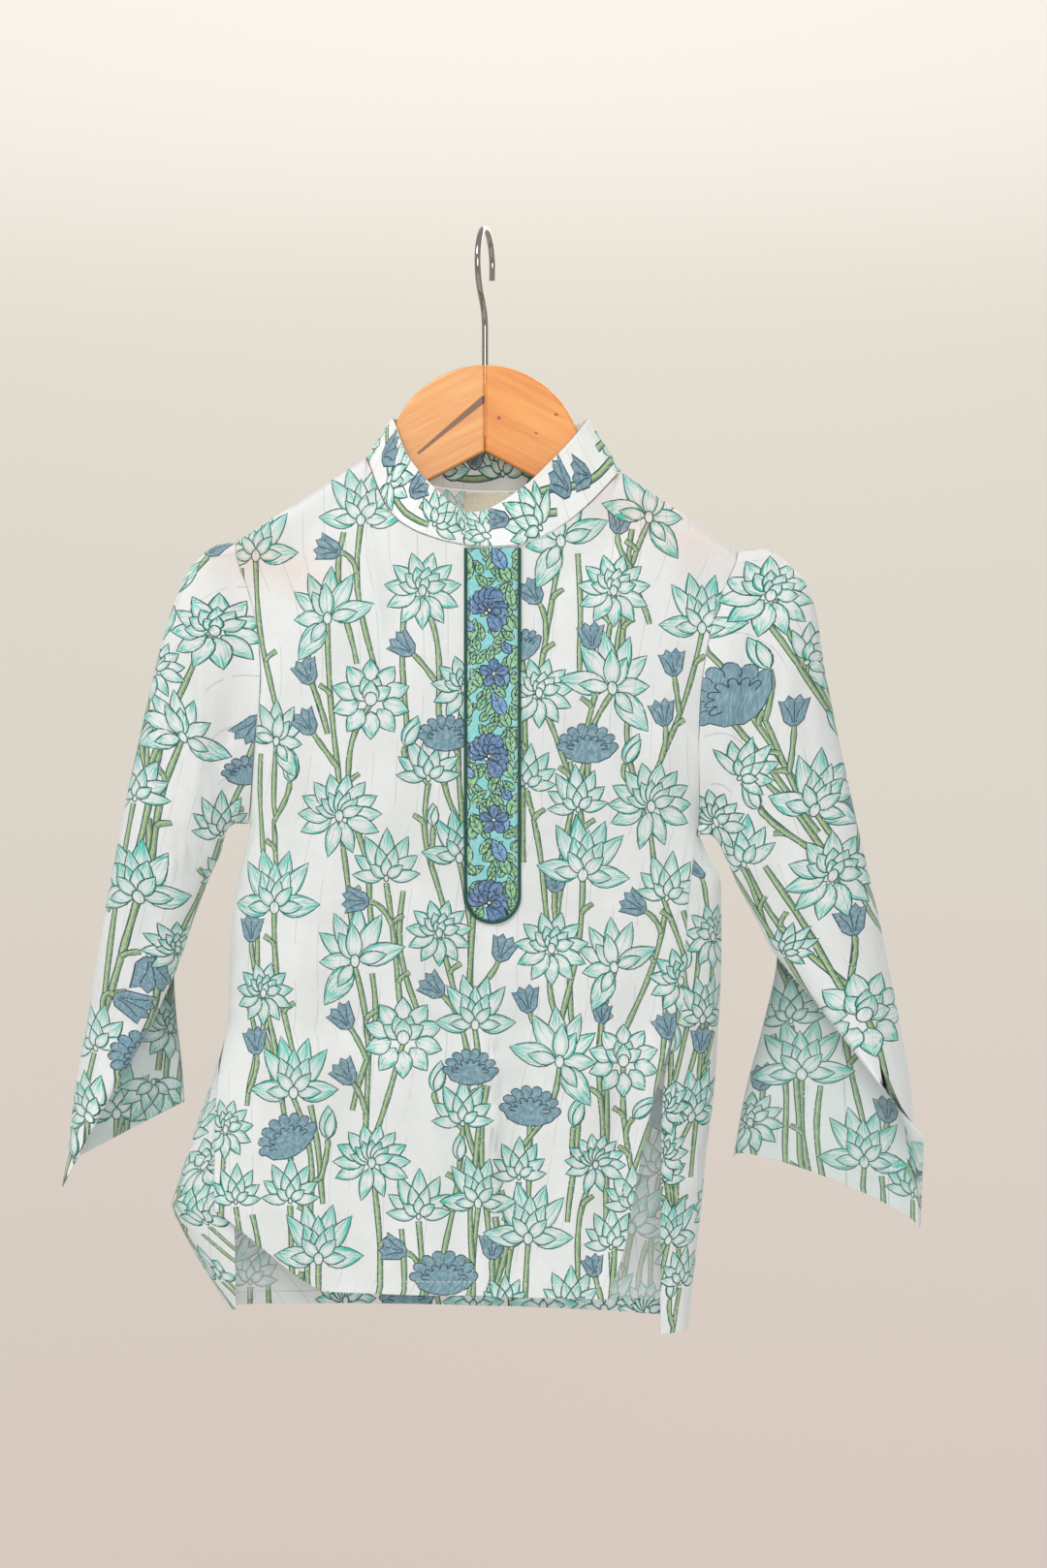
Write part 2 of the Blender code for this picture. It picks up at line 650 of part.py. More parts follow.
def build_piping(collection):
    half = (PLACKET_RIGHT - PLACKET_LEFT) / 2
    middle = (PLACKET_RIGHT + PLACKET_LEFT) / 2
    out = half + SEAM_GAP + PIPING_RADIUS
    turn = np.linspace(math.pi, 2 * math.pi, 15)
    straight = np.linspace(PLACKET_TOP, PLACKET_BOTTOM + half, 20)[:-1]
    x = np.concatenate([np.full(19, middle - out), middle + out * np.cos(turn), np.full(19, middle + out)])
    z = np.concatenate([straight, PLACKET_BOTTOM + half + out * np.sin(turn), straight[::-1]])
    points = front_at(x, z)
    points[:, 1] -= WALL / 2 + SEAM_GAP * 1.5 + PIPING_RADIUS
    return wire_solid("placket_piping", points, PIPING_RADIUS, "piping_green", collection, 0)


def build_label(collection):
    x, z = np.meshgrid(
        np.linspace(LABEL["left"], LABEL["right"], 6), np.linspace(LABEL["top"], LABEL["bottom"], 4)
    )
    share = share_at("back", x, z)
    points = panel_point("back", share, z, top_height("back", share))
    points[..., 1] -= WALL / 2 + LABEL["wall"] / 2 + SEAM_GAP * 2
    return sheet_solid("neck_label", points, LABEL["wall"], "label_cream", collection)


def arm_outline():
    """Half of the hanger's outline, as (distance from the middle, height)."""
    turn = np.linspace(0, math.radians(64), 12)
    centre = HEAD_TOP - HEAD_RADIUS
    head = [(HEAD_RADIUS * math.sin(a), centre + HEAD_RADIUS * math.cos(a)) for a in turn]
    return head + ARM_TOP + ARM_TIP + ARM_BOTTOM


def build_arm(side, collection, cutters):
    sign = -1 if side == "left" else 1
    curve = bpy.data.curves.new(f"hanger_arm_{side}", "CURVE")
    curve.dimensions = "2D"
    curve.fill_mode = "BOTH"
    curve.extrude = (WOOD_THICK / 2 - 1.5) * MM
    curve.bevel_depth = 1.5 * MM
    curve.bevel_resolution = 1
    curve.offset = -1.5 * MM
    outline = arm_outline()
    spline = curve.splines.new("POLY")
    spline.points.add(len(outline) - 1)
    for target, (out, height) in zip(spline.points, outline):
        target.co = (sign * max(out, SEAM_GAP / 2) * MM, height * MM, 0.0, 1.0)
    spline.use_cyclic_u = True
    flat = bpy.data.objects.new("arm_outline", curve)
    mesh = bpy.data.meshes.new_from_object(flat)
    bpy.data.objects.remove(flat)
    for v in mesh.vertices:
        x, z, y = v.co
        v.co = Vector((x + CENTRE_X * MM, y - SWEEP * abs(x), z))
    if side == "right":
        mesh.flip_normals()
    mesh.name = f"hanger_arm_{side}"
    mesh.materials.clear()
    mesh.materials.append(material("wood_light" if side == "left" else "wood_deep"))
    arm = link(bpy.data.objects.new(mesh.name, mesh), collection)
    weld = arm.modifiers.new("weld", "WELD")
    weld.merge_threshold = 0.00002
    cut = arm.modifiers.new("socket", "BOOLEAN")
    cut.operation = "DIFFERENCE"
    cut.solver = "EXACT"
    cut.object = cutters.objects["hook_socket"]
    return arm


def build_socket_cutter(cutters):
    """A rod that cuts half of the hook's hole into each half of the hanger."""
    top = HEAD_TOP
    radius = WIRE / 2 + SEAM_GAP
    curve = bpy.data.curves.new("hook_socket_line", "CURVE")
    curve.dimensions = "3D"
    curve.bevel_depth = radius * MM
    curve.bevel_resolution = 2
    curve.use_fill_caps = True
    spline = curve.splines.new("POLY")
    spline.points.add(1)
    spline.points[0].co = (CENTRE_X * MM, 0.0, (top - SOCKET_DEPTH) * MM, 1.0)
    spline.points[1].co = (CENTRE_X * MM, 0.0, (top + 8) * MM, 1.0)
    line = bpy.data.objects.new("hook_socket_line", curve)
    mesh = bpy.data.meshes.new_from_object(line)
    bpy.data.objects.remove(line)
    cutter = link(bpy.data.objects.new("hook_socket", mesh), cutters)
    weld = cutter.modifiers.new("weld", "WELD")
    weld.merge_threshold = 0.00002
    cutter.hide_render = True
    cutter.display_type = "WIRE"
    return cutter


def hook_points():
    path = np.array(HOOK_PATH, float)
    run = np.concatenate([[0.0], np.cumsum(np.hypot(*np.diff(path, axis=0).T))])
    at = np.linspace(0, run[-1], 44)
    y = curve_through(run, path[:, 0], at)
    z = curve_through(run, path[:, 1], at)
    x = CENTRE_X * smooth_step(-z / 70) + HOOK_TURN * y
    return np.stack([x, y, z], axis=-1)


def build_hook(collection):
    return wire_solid("hanger_hook", hook_points(), WIRE / 2, "steel", collection)


def build():
    clear_scene()
    collection = bpy.data.collections.new("kurta_on_hanger")
    cutters = bpy.data.collections.new("cutters")
    bpy.context.scene.collection.children.link(collection)
    bpy.context.scene.collection.children.link(cutters)
    build_panel("front", collection)
    build_panel("back", collection)
    build_sleeve("left", collection)
    build_sleeve("right", collection)
    build_collar(collection)
    build_placket(collection)
    build_piping(collection)
    build_label(collection)
    build_socket_cutter(cutters)
    build_arm("left", collection, cutters)
    build_arm("right", collection, cutters)
    build_hook(collection)


build()
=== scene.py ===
# Looks of a child's printed cotton kurta on a wooden hanger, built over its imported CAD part.
# Tables are in millimetres. X runs to the viewer's right, Y away from the viewer, Z up.
# The printed cloth is drawn as flat shapes, cut into triangles, and laid on the garment's surfaces.

import math

import bpy
import numpy as np
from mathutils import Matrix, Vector, geometry


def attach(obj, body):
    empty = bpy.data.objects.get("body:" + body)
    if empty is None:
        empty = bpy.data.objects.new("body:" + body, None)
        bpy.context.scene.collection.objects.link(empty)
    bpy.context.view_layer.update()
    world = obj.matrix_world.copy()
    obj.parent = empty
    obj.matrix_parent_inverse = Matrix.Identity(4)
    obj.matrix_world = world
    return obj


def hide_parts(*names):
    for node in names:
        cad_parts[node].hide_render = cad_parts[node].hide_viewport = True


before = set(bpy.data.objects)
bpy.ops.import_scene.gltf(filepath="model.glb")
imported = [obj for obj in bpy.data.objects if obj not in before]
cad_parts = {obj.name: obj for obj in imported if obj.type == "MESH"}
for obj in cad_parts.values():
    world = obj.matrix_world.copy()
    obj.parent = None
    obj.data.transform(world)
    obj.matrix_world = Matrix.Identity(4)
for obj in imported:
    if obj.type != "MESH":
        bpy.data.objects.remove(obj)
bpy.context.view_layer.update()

MM = 0.001
CLOTH = 0.5  # the printed cloth's thickness here
COLLAR_CLOTH = 1.3  # the collar's, which is doubled

# The garment's surfaces, as in the CAD part.
WALL = 1.2  # cloth, as a rigid stand-in
SEAM_GAP = 0.35
ARMPIT_GAP = 0.9  # more, where the sleeve leaves the body at a right angle
WIRE = 4.0
SWEEP = 0.052  # both halves of the hanger come forward by three degrees

# The body's girth at each height: the two silhouettes and how far the cloth stands off the middle.
RING_COLUMNS = ("z", "left", "right", "front", "back")
RINGS = [
    (-140, -163, 166, 34, 30),
    (-205, -163, 166, 34, 30),
    (-240, -160, 163, 34, 31),
    (-290, -160, 157, 35, 32),
    (-335, -157, 150, 37, 34),
    (-386, -152, 138, 38, 37),
    (-402, -155, 143, 38, 38),
    (-423, -160, 153, 38, 39),
    (-470, -165, 153, 39, 40),
    (-517, -167, 151, 40, 41),
    (-560, -180, 148, 41, 42),
    (-600, -193, 143, 42, 43),
    (-623, -200.5, 141, 43, 43),
    (-631, -203, 140, 43, 43),
    (-638, -200, 139.5, 43, 43),
    (-660, -188.5, 137, 43, 43),
    (-696, -168, 133, 43, 43),
    (-720, -160, 131, 43, 43),
]

# Where the two panels end on that girth: armholes, then side seams, then the vents.
EDGE_COLUMNS = ("z", "front_left", "front_right", "back_left", "back_right")
EDGES = [
    (-140, -161, 164, -161, 164),
    (-205, -161, 164, -161, 164),
    (-240, -150.5, 151, -151.5, 152),
    (-290, -144, 140, -147, 143),
    (-335, -148, 137.5, -149, 139),
    (-386, -152.5, 137, -152.5, 137),
    (-402, -155.5, 135, -155.5, 135),
    (-423, -160.5, 132, -160.5, 132),
    (-470, -165.5, 128.5, -165.5, 128.5),
    (-512, -167, 124, -167, 124),
    (-518, -167.3, 121, -168, 122.5),
    (-530, -168.8, 117.3, -171, 119),
    (-545, -171, 112.8, -172, 115.8),
    (-560, -172.5, 108.5, -168, 114.5),
    (-611, -173, 97.7, -162, 113.5),
    (-661, -173, 88.2, -160, 113),
    (-690, -173, 79.2, -160, 113),
    (-720, -173, 78, -159, 112.8),
]
RING_POWER = 2.5
MIDDLE_X = 5.0
OUTWARD = {"front": -1.0, "back": 1.0}
ARMPIT = {"left": -384.0, "right": -391.0}
VENT_TOP = -512.0
VENT_LAP = 4.5  # below the vents' tops the front hangs in front of the back

# Top and bottom edges by X, and how far each face's neck stands off the middle.
PANEL_TOP = {
    "front": [
        (-161, -201.6), (-77, -146.8), (-75, -151), (-71, -163.5), (-63, -181.5), (-54, -190.5),
        (-44, -196.3), (-30, -201.5), (-12.6, -205.3), (5, -206.6), (22, -205.5), (34, -201.3),
        (44, -196.2), (57, -187.5), (69.3, -176.4), (80, -165), (86, -158), (88.2, -156.2), (164, -207.9),
    ],
    "back": [
        (-161, -201.6), (-77, -146.8), (-74.5, -148), (-68, -152.5), (-58, -157.8), (-45, -162),
        (-30, -165), (-12, -166.7), (5, -167.2), (22, -167), (40, -165.9), (55, -163.8),
        (70, -160.8), (80, -158.3), (86, -156.8), (88.2, -156.2), (164, -207.9),
    ],
}
NECK_DEPTH = {
    "front": [
        (-77, 0), (-75, 8.2), (-71, 11.5), (-63, 17), (-54, 21.5), (-44, 25), (-30, 27.5), (-12.6, 28.7),
        (5, 29), (22, 28.7), (34, 27.3), (44, 25), (57, 21), (69.3, 16), (80, 10.5), (86, 7.7), (88.2, 0),
    ],
    "back": [
        (-77, 0), (-74.5, 7.7), (-68, 11), (-58, 15), (-45, 19), (-30, 22), (-12, 24.3), (5, 25),
        (22, 24.4), (40, 22.2), (55, 19), (70, 14), (80, 9.8), (86, 7.7), (88.2, 0),
    ],
}
FRONT_HEM = [
    (-173, -631), (-150, -649), (-119.7, -674), (-104, -683),
    (-60, -685), (0, -686), (79, -688.6),
]
BACK_HEM_BY_SHARE = [(0.0, -697), (0.3, -700), (0.6, -703), (0.88, -706), (0.92, -711), (1.0, -712.5)]

SHOULDER_CREST = 8.6  # cloth over the edge of the hanger
CREST_DROP = 9.0
DRAPE_DROP = 110.0

# Soft folds as seen from the front: x0, z0, x1 and z1 of the line, half width, and height outwards.
FOLDS = {
    "front": [
        (8, -474, 4, -700, 13, 5.0),
        (-17, -474, -8, -700, 12, -4.0),
        (-118, -330, -60, -420, 16, 2.5),
        (-135, -420, -110, -640, 18, 3.0),
        (-75, -480, -70, -700, 22, -3.0),
        (60, -470, 48, -700, 20, 3.0),
        (92, -300, 70, -460, 20, -2.5),
        (112, -430, 92, -640, 14, -3.0),
        (-40, -250, -60, -380, 20, 1.5),
    ],
    "back": [
        (5, -240, 0, -700, 16, -4.0),
        (-50, -300, -62, -700, 20, 4.5),
        (52, -290, 60, -700, 20, 4.5),
        (-100, -380, -118, -690, 18, -4.0),
        (98, -390, 92, -690, 18, -4.0),
        (-130, -250, -90, -400, 16, 2.5),
        (125, -255, 90, -400, 16, 2.5),
    ],
    "left": [
        (-190, -240, -196, -370, 9, -4.0),
        (-176, -236, -178, -360, 9, 3.5),
        (-166, -250, -168, -372, 7, -3.0),
        (-214, -330, -232, -470, 12, 3.0),
        (-204, -400, -224, -480, 9, -2.5),
    ],
    "right": [
        (176, -235, 172, -345, 9, -3.5),
        (192, -240, 196, -350, 10, 3.5),
        (206, -300, 228, -430, 12, -2.5),
        (196, -400, 246, -500, 10, 2.5),
    ],
}

# Each sleeve at shares of its length: outer fold, front and back underarm edges, and how far
# the front and back of the tube stand off the line between them.
SLEEVE_COLUMNS = (
    "s", "outer_x", "outer_z", "front_x", "front_z", "back_x", "back_z",
    "outer_y", "front_y", "back_y", "front_out", "back_out", "bow",
)
SLEEVES = {
    "left": [
        (0.00, -163, -202, -152, -384, -152, -384, 0, 0, 0, 20, 18, 0),
        (0.08, -178, -206, -160, -384, -160, -384, 0, 0, 0, 21, 19, 0),
        (0.16, -192, -221, -167, -388, -167, -388, 0, 0, 0, 22, 20, 0),
        (0.26, -206, -257, -171, -402, -171, -402, 0, 0, 0, 23, 21, 0),
        (0.38, -219, -310, -178, -418, -178, -418, 0, -1, -1, 24, 21, 0),
        (0.52, -235, -384, -188, -444, -188, -444, 1, -2, -2, 24, 21, 0),
        (0.66, -250, -466, -201, -482, -201, -482, 2, -4, -4, 23, 20, 0),
        (0.78, -257, -512, -220, -524, -199.5, -512, 4, -17, 0, 17, 18, 0),
        (0.90, -266, -560, -246, -570, -197, -540, 7, -30, 8, 10, 13, 0),
        (1.00, -271, -604, -268.5, -615, -195.5, -565, 10, -44, 12, 5, 9, 0),
    ],
    "right": [
        (0.00, 166, -208, 138, -391, 138, -391, 0, 0, 0, 20, 18, 0),
        (0.08, 180, -206.5, 145, -391, 145, -391, 0, 0, 0, 21, 19, 0),
        (0.16, 194, -214, 151, -395.5, 151, -395.5, 0, 0, 0, 22, 20, 0),
        (0.26, 211, -236, 157, -408, 157, -408, 0, 0, 0, 23, 21, 0),
        (0.38, 221, -291, 165, -426, 165, -426, 0, -1, -1, 24, 21, 0),
        (0.52, 238, -372, 177, -448, 177, -448, 1, -2, -2, 24, 21, 0),
        (0.66, 254, -442, 189, -470, 189, -470, 2, -4, -4, 23, 20, 0),
        (0.78, 266, -500, 220, -508, 180, -516, 4, -18, 2, 17, 18, 3),
        (0.90, 277, -566, 251, -548, 169, -560, 6, -32, 10, 10, 14, 6),
        (1.00, 281.5, -646, 280, -584, 162, -601, 4, -44, 16, 5, 9, 9),
    ],
}

# The collar's top edge (x, y, z) above places on the neck's seam (its panel and x), from the end
# that lies under, round the back, to the end that laps over it.
COLLAR = [
    ("front", 20, 17, -27.5, -187),
    ("front", -12.6, -9.5, -29, -184.5),
    ("front", -44, -31, -28, -169),
    ("front", -63, -48, -22, -149),
    ("front", -75, -58.5, -9, -124),
    ("back", -77, -60.2, 1, -121),
    ("back", -68, -57, 9, -121.5),
    ("back", -45, -41, 18, -126),
    ("back", 5, 3, 24, -131),
    ("back", 55, 46, 18, -128),
    ("back", 80, 64, 9, -122.5),
    ("back", 88.2, 66.5, 0, -121.5),
    ("front", 80, 60, -14, -131),
    ("front", 57, 44, -25, -149),
    ("front", 34, 24, -30, -168),
    ("front", 8, 0, -32, -182.5),
    ("front", -12.6, -12.6, -32.5, -183.5),
]
COLLAR_SEAM = 0.9  # in from the panels' edges
LAP = {"under": 1.0, "over": -2.6}

PLACKET_LEFT = -11.0
PLACKET_RIGHT = 21.2
PLACKET_TOP = -206.6
PLACKET_BOTTOM = -446.0
PLACKET_MIDDLE = (PLACKET_LEFT + PLACKET_RIGHT) / 2
PLACKET_HALF = (PLACKET_RIGHT - PLACKET_LEFT) / 2
PIPING_RADIUS = 0.9
LABEL = {"left": -14.0, "right": 25.0, "top": -168.2, "bottom": -183.5, "wall": 0.8}
HOOK_PATH = [
    (0, -99), (0, -80), (0, -64), (-2, -54), (-9, -45), (-17, -37), (-21.8, -28), (-23, -20),
    (-20.8, -11), (-15, -3.6), (-7.7, 0.8), (0, 2), (7.7, 0.8), (15, -3.6), (20.8, -11),
    (23, -20), (22.4, -29),
]
HOOK_TURN = 0.2


def smooth_step(x):
    x = np.clip(x, 0.0, 1.0)
    return x * x * (3.0 - 2.0 * x)


def line_through(pairs, x):
    keys = np.array(pairs, float)
    return np.interp(x, keys[:, 0], keys[:, 1])


def curve_through(keys, values, x):
    """Cubic curve through the values at the keys, with its slopes taken from their neighbours."""
    keys = np.asarray(keys, float)
    values = np.asarray(values, float)
    if keys[0] > keys[-1]:
        keys, values = keys[::-1], values[::-1]
    x = np.clip(np.asarray(x, float), keys[0], keys[-1])
    step = np.diff(keys)
    rise = np.diff(values) / step
    slope = np.zeros(len(keys))
    slope[1:-1] = (rise[:-1] * step[1:] + rise[1:] * step[:-1]) / (step[:-1] + step[1:])
    slope[0], slope[-1] = rise[0], rise[-1]
    flat = np.concatenate([[False], rise[:-1] * rise[1:] <= 0, [False]])
    slope[flat] = 0.0
    i = np.clip(np.searchsorted(keys, x, side="right") - 1, 0, len(keys) - 2)
    h = step[i]
    t = (x - keys[i]) / h
    return (
        values[i] * (1 + 2 * t) * (1 - t) ** 2
        + slope[i] * h * t * (1 - t) ** 2
        + values[i + 1] * t * t * (3 - 2 * t)
        + slope[i + 1] * h * t * t * (t - 1)
    )


def column(table, columns, name, x):
    rows = np.array(table, float)
    return curve_through(rows[:, 0], rows[:, columns.index(name)], x)


def swept(points):
    """The hanger's halves come forward, and what hangs on them goes with them."""
    points = points.copy()
    points[..., 1] -= SWEEP * (np.sqrt(points[..., 0] ** 2 + 100.0) - 10.0)
    return points


def fold_height(folds, x, z):
    out = np.zeros(np.shape(x))
    for x0, z0, x1, z1, width, height in folds:
        along = ((x - x0) * (x1 - x0) + (z - z0) * (z1 - z0)) / ((x1 - x0) ** 2 + (z1 - z0) ** 2)
        near = np.clip(along, 0.0, 1.0)
        away = np.hypot(x - x0 - near * (x1 - x0), z - z0 - near * (z1 - z0))
        ends = 0.25 + 0.75 * np.sin(np.pi * np.clip(along, 0.0, 1.0)) ** 0.7
        out += height * np.exp(-((away / width) ** 2)) * ends
    return out


def bowed(x):
    """A sine or cosine made fuller, so that the girth is a rounded oblong."""
    return np.sign(x) * np.abs(x) ** (2 / RING_POWER)


def ring_angle(x):
    """The angle of the place at this share of the girth's half width."""
    return math.copysign(math.asin(min(abs(x), 1.0) ** (RING_POWER / 2)), x)


def run_along(points):
    """Distance run along a path of points."""
    return np.concatenate([[0.0], np.cumsum(np.linalg.norm(np.diff(points, axis=0), axis=1))])


def run_across(points):
    """Distance run across each row of a grid of points."""
    steps = np.linalg.norm(np.diff(points, axis=1), axis=-1)
    return np.concatenate([np.zeros((len(points), 1)), np.cumsum(steps, axis=1)], axis=1)


def between(values, across, row):
    """A value read between the points of a grid, at shares across it and over its rows."""
    a = np.clip(across, 0, 1) * (values.shape[1] - 1)
    b = np.clip(row, 0, 1) * (values.shape[0] - 1)
    i = np.clip(a.astype(int), 0, values.shape[1] - 2)
    j = np.clip(b.astype(int), 0, values.shape[0] - 2)
    a, b = a - i, b - j
    low = values[j, i] * (1 - a) + values[j, i + 1] * a
    high = values[j + 1, i] * (1 - a) + values[j + 1, i + 1] * a
    return low * (1 - b) + high * b


HALVINGS = 24


def share_where(value_at, wanted):
    """The share at which a rising value reaches the wanted one."""
    low, high = np.zeros(np.shape(wanted)), np.ones(np.shape(wanted))
    for _ in range(HALVINGS):
        middle = (low + high) / 2
        beyond = value_at(middle) > wanted
        low, high = np.where(beyond, low, middle), np.where(beyond, middle, high)
    return (low + high) / 2


RING_GRID_Z = np.linspace(-720.0, -140.0, 146)
RING_GRID_SHARE = np.linspace(0.0, 1.0, 121)


def ring_grid(face):
    """X and Y of one panel's sections, spaced evenly along each section."""
    z = RING_GRID_Z
    left, right = (column(RINGS, RING_COLUMNS, n, z) for n in ("left", "right"))
    depths = {n: column(RINGS, RING_COLUMNS, n, z) for n in ("front", "back")}
    sewn = (z < ARMPIT["right"]) & (z > VENT_TOP)
    ends = []
    for n in ("left", "right"):
        own, joined = (column(EDGES, EDGE_COLUMNS, f"{f}_{n}", z) for f in (face, "front"))
        ends.append(np.where(sewn, joined, own))
    centre, half = (left + right) / 2, (right - left) / 2
    xs = np.zeros((len(z), len(RING_GRID_SHARE)))
    ys = np.zeros_like(xs)
    for i in range(len(z)):
        angles = [ring_angle((e[i] - centre[i]) / half[i]) for e in ends]
        if face == "back":
            above = [z[i] > ARMPIT["left"], z[i] > ARMPIT["right"]]
            start = -math.pi - angles[0] if above[0] else angles[0]
            stop = math.pi - angles[1] if above[1] else angles[1]
            turn = np.linspace(start, stop - 2 * math.pi, 721)
        else:
            turn = np.linspace(angles[0], angles[1], 721)
        x = centre[i] + half[i] * bowed(np.sin(turn))
        facing = bowed(np.cos(turn))
        y = np.where(facing > 0, -depths["front"][i] * facing, -depths["back"][i] * facing)
        run = run_along(np.column_stack([x, y]))
        xs[i] = np.interp(RING_GRID_SHARE * run[-1], run, x)
        ys[i] = np.interp(RING_GRID_SHARE * run[-1], run, y)
    return xs, ys


def on_grid(grid, share, z):
    """Value of a grid of sections at a share across and a height."""
    return between(grid, share, (z - RING_GRID_Z[0]) / (RING_GRID_Z[-1] - RING_GRID_Z[0]))


GRIDS = {face: ring_grid(face) for face in ("front", "back")}


def height_where(face, share, edge_height):
    """Height at which a column of the panel meets an edge given by X."""
    z = np.full(np.shape(share), -200.0 if edge_height(0.0) > -400 else -680.0)
    for _ in range(12):
        z = edge_height(on_grid(GRIDS[face][0], share, z))
    return z


def top_height(face, share):
    return height_where(face, share, lambda x: line_through(PANEL_TOP[face], x))


def hem_height(face, share):
    if face == "back":
        return line_through(BACK_HEM_BY_SHARE, share)
    return height_where(face, share, lambda x: line_through(FRONT_HEM, x))


def armpit_height(share):
    return ARMPIT["left"] + (ARMPIT["right"] - ARMPIT["left"]) * share


def panel_at(face, share, v):
    """A point of a panel: v is 0 at its top edge, 1 at the armpits, 2 at the vents and 3 at the hem."""
    share, v = np.broadcast_arrays(np.asarray(share, float), np.asarray(v, float))
    top, middle, hem = top_height(face, share), armpit_height(share), hem_height(face, share)
    z = np.where(v < 1, top + (middle - top) * v, middle + (VENT_TOP - middle) * (v - 1))
    z = np.where(v > 2, VENT_TOP + (hem - VENT_TOP) * (v - 2), z)
    return panel_point(face, share, z, top)


def panel_point(face, share, z, top):
    x = on_grid(GRIDS[face][0], share, z)
    y = on_grid(GRIDS[face][1], share, z)
    out = OUTWARD[face]
    rise = line_through(NECK_DEPTH[face], on_grid(GRIDS[face][0], share, top))
    below = top - z
    round_over = np.sqrt(1 - (1 - np.clip(below / CREST_DROP, 0, 1)) ** 2)
    crest = rise + np.maximum(SHOULDER_CREST - rise, 0) * round_over
    deep = crest + (out * y - crest) * smooth_step(below / DRAPE_DROP)
    folds = fold_height(FOLDS[face], x, z) * smooth_step(share / 0.07) * smooth_step((1 - share) / 0.07)
    deep = deep + folds * smooth_step(below / 40) * np.clip(deep / 20, 0, 1)
    if face == "front":
        deep = deep + VENT_LAP * smooth_step((VENT_TOP - z) / 30)
    return swept(np.stack([x, out * deep, z], axis=-1))


def share_at(face, x, z):
    """The share across a panel at which it has this X at this height."""
    return share_where(lambda share: on_grid(GRIDS[face][0], share, z), x)


def front_at(x, z):
    """A point of the front panel above a place in the front view."""
    share = share_at("front", x, z)
    return panel_point("front", share, z, top_height("front", share))


def armhole_at(side, around):
    """The armhole's seam on the panels: around is 0 and 1 at the armpit and 0.5 at the shoulder."""
    fall = (1 + np.cos(2 * np.pi * around)) / 2
    share = np.full(np.shape(around), 0.0 if side == "left" else 1.0)
    front = panel_at("front", share, fall)
    back = panel_at("back", share, fall)
    seam = np.where((around <= 0.5)[..., None], front, back)
    gap = SEAM_GAP + ARMPIT_GAP * fall**2
    seam[..., 0] += -gap if side == "left" else gap
    return seam


def sleeve_tube(side, around, s):
    """A point of the sleeve's tube, before its head is drawn to the armhole."""
    at = {n: column(SLEEVES[side], SLEEVE_COLUMNS, n, s) for n in SLEEVE_COLUMNS[1:]}
    turn = 2 * np.pi * around
    outward = (1 - np.cos(turn)) / 2
    stand = np.abs(np.sin(turn))
    front = around <= 0.5
    x = np.where(front, at["front_x"], at["back_x"]) * (1 - outward) + at["outer_x"] * outward
    z = np.where(front, at["front_z"], at["back_z"]) * (1 - outward) + at["outer_z"] * outward
    z = z + np.where(front, 0, at["bow"]) * stand
    near = np.where(front, at["front_y"] - SEAM_GAP / 2, at["back_y"] + SEAM_GAP / 2)
    y = near * (1 - outward) + at["outer_y"] * outward
    y = y + stand * np.where(front, -at["front_out"], at["back_out"])
    return np.stack([x, y, z], axis=-1)


def sleeve_at(side, around, s):
    """A point of a sleeve: around as for the armhole, s from 0 at the armhole to 1 at the cuff."""
    around, s = np.broadcast_arrays(np.asarray(around, float), np.asarray(s, float))
    points = sleeve_tube(side, around, s)
    stand = np.abs(np.sin(2 * np.pi * around))
    folds = fold_height(FOLDS[side], points[..., 0], points[..., 2]) * stand
    points[..., 1] += folds * np.where(around <= 0.5, -1.0, 1.0)
    points = swept(points)
    taken = smooth_step(s / 0.2)[..., None]
    start = swept(sleeve_tube(side, around, np.zeros(np.shape(around))))
    carried = points - start + armhole_at(side, around)
    return carried * (1 - taken) + points * taken


def neck_edge(face, x):
    """The panel's top edge at this X, before the sweep."""
    depth = OUTWARD[face] * line_through(NECK_DEPTH[face], x)
    return np.stack([x, depth, line_through(PANEL_TOP[face], x)], axis=-1)


def neck_parts():
    """The X of the places along the neck's seam: the under end's side, the back, the over end's side."""
    front_x, back_x = (np.array([x for x, _ in NECK_DEPTH[face]]) for face in ("front", "back"))
    under = np.concatenate([[COLLAR[0][1]], front_x[front_x < COLLAR[0][1]][::-1]])
    over = front_x[front_x >= COLLAR[-1][1]][::-1]
    return [("front", under), ("back", back_x[1:]), ("front", over[1:])]


def neck_path():
    """The seam from the collar's under end to its over end, set in from the panels' edges."""
    pieces = []
    for n, (face, x) in enumerate(neck_parts()):
        piece = neck_edge(face, x)
        along = np.gradient(piece[:, [0, 2]], axis=0)
        upward = np.stack([-along[:, 1], along[:, 0]], axis=-1) * (1 if face == "back" else -1)
        piece[:, [0, 2]] += COLLAR_SEAM * upward / np.linalg.norm(upward, axis=1)[:, None]
        lap = smooth_step((26 - np.abs(x - 4)) / 9)
        if face == "front":
            piece[:, 1] += lap * LAP["under" if n == 0 else "over"]
        pieces.append(piece)
    path = np.concatenate(pieces)
    return path, run_along(path)


def collar_keys():
    """How far along the seam each row of the collar's table lies."""
    keys = []
    parts = neck_parts()
    starts = np.cumsum([0] + [len(x) for _, x in parts])
    for n, (face, x, *_) in enumerate(COLLAR):
        part = 1 if face == "back" else (0 if n < len(COLLAR) / 2 else 2)
        stretch = slice(starts[part], starts[part + 1])
        xs, runs = parts[part][1], NECK_RUN[stretch]
        order = np.argsort(xs)
        keys.append(float(np.interp(x, xs[order], runs[order])))
    return np.array(keys)


NECK, NECK_RUN = neck_path()
COLLAR_KEYS = collar_keys()


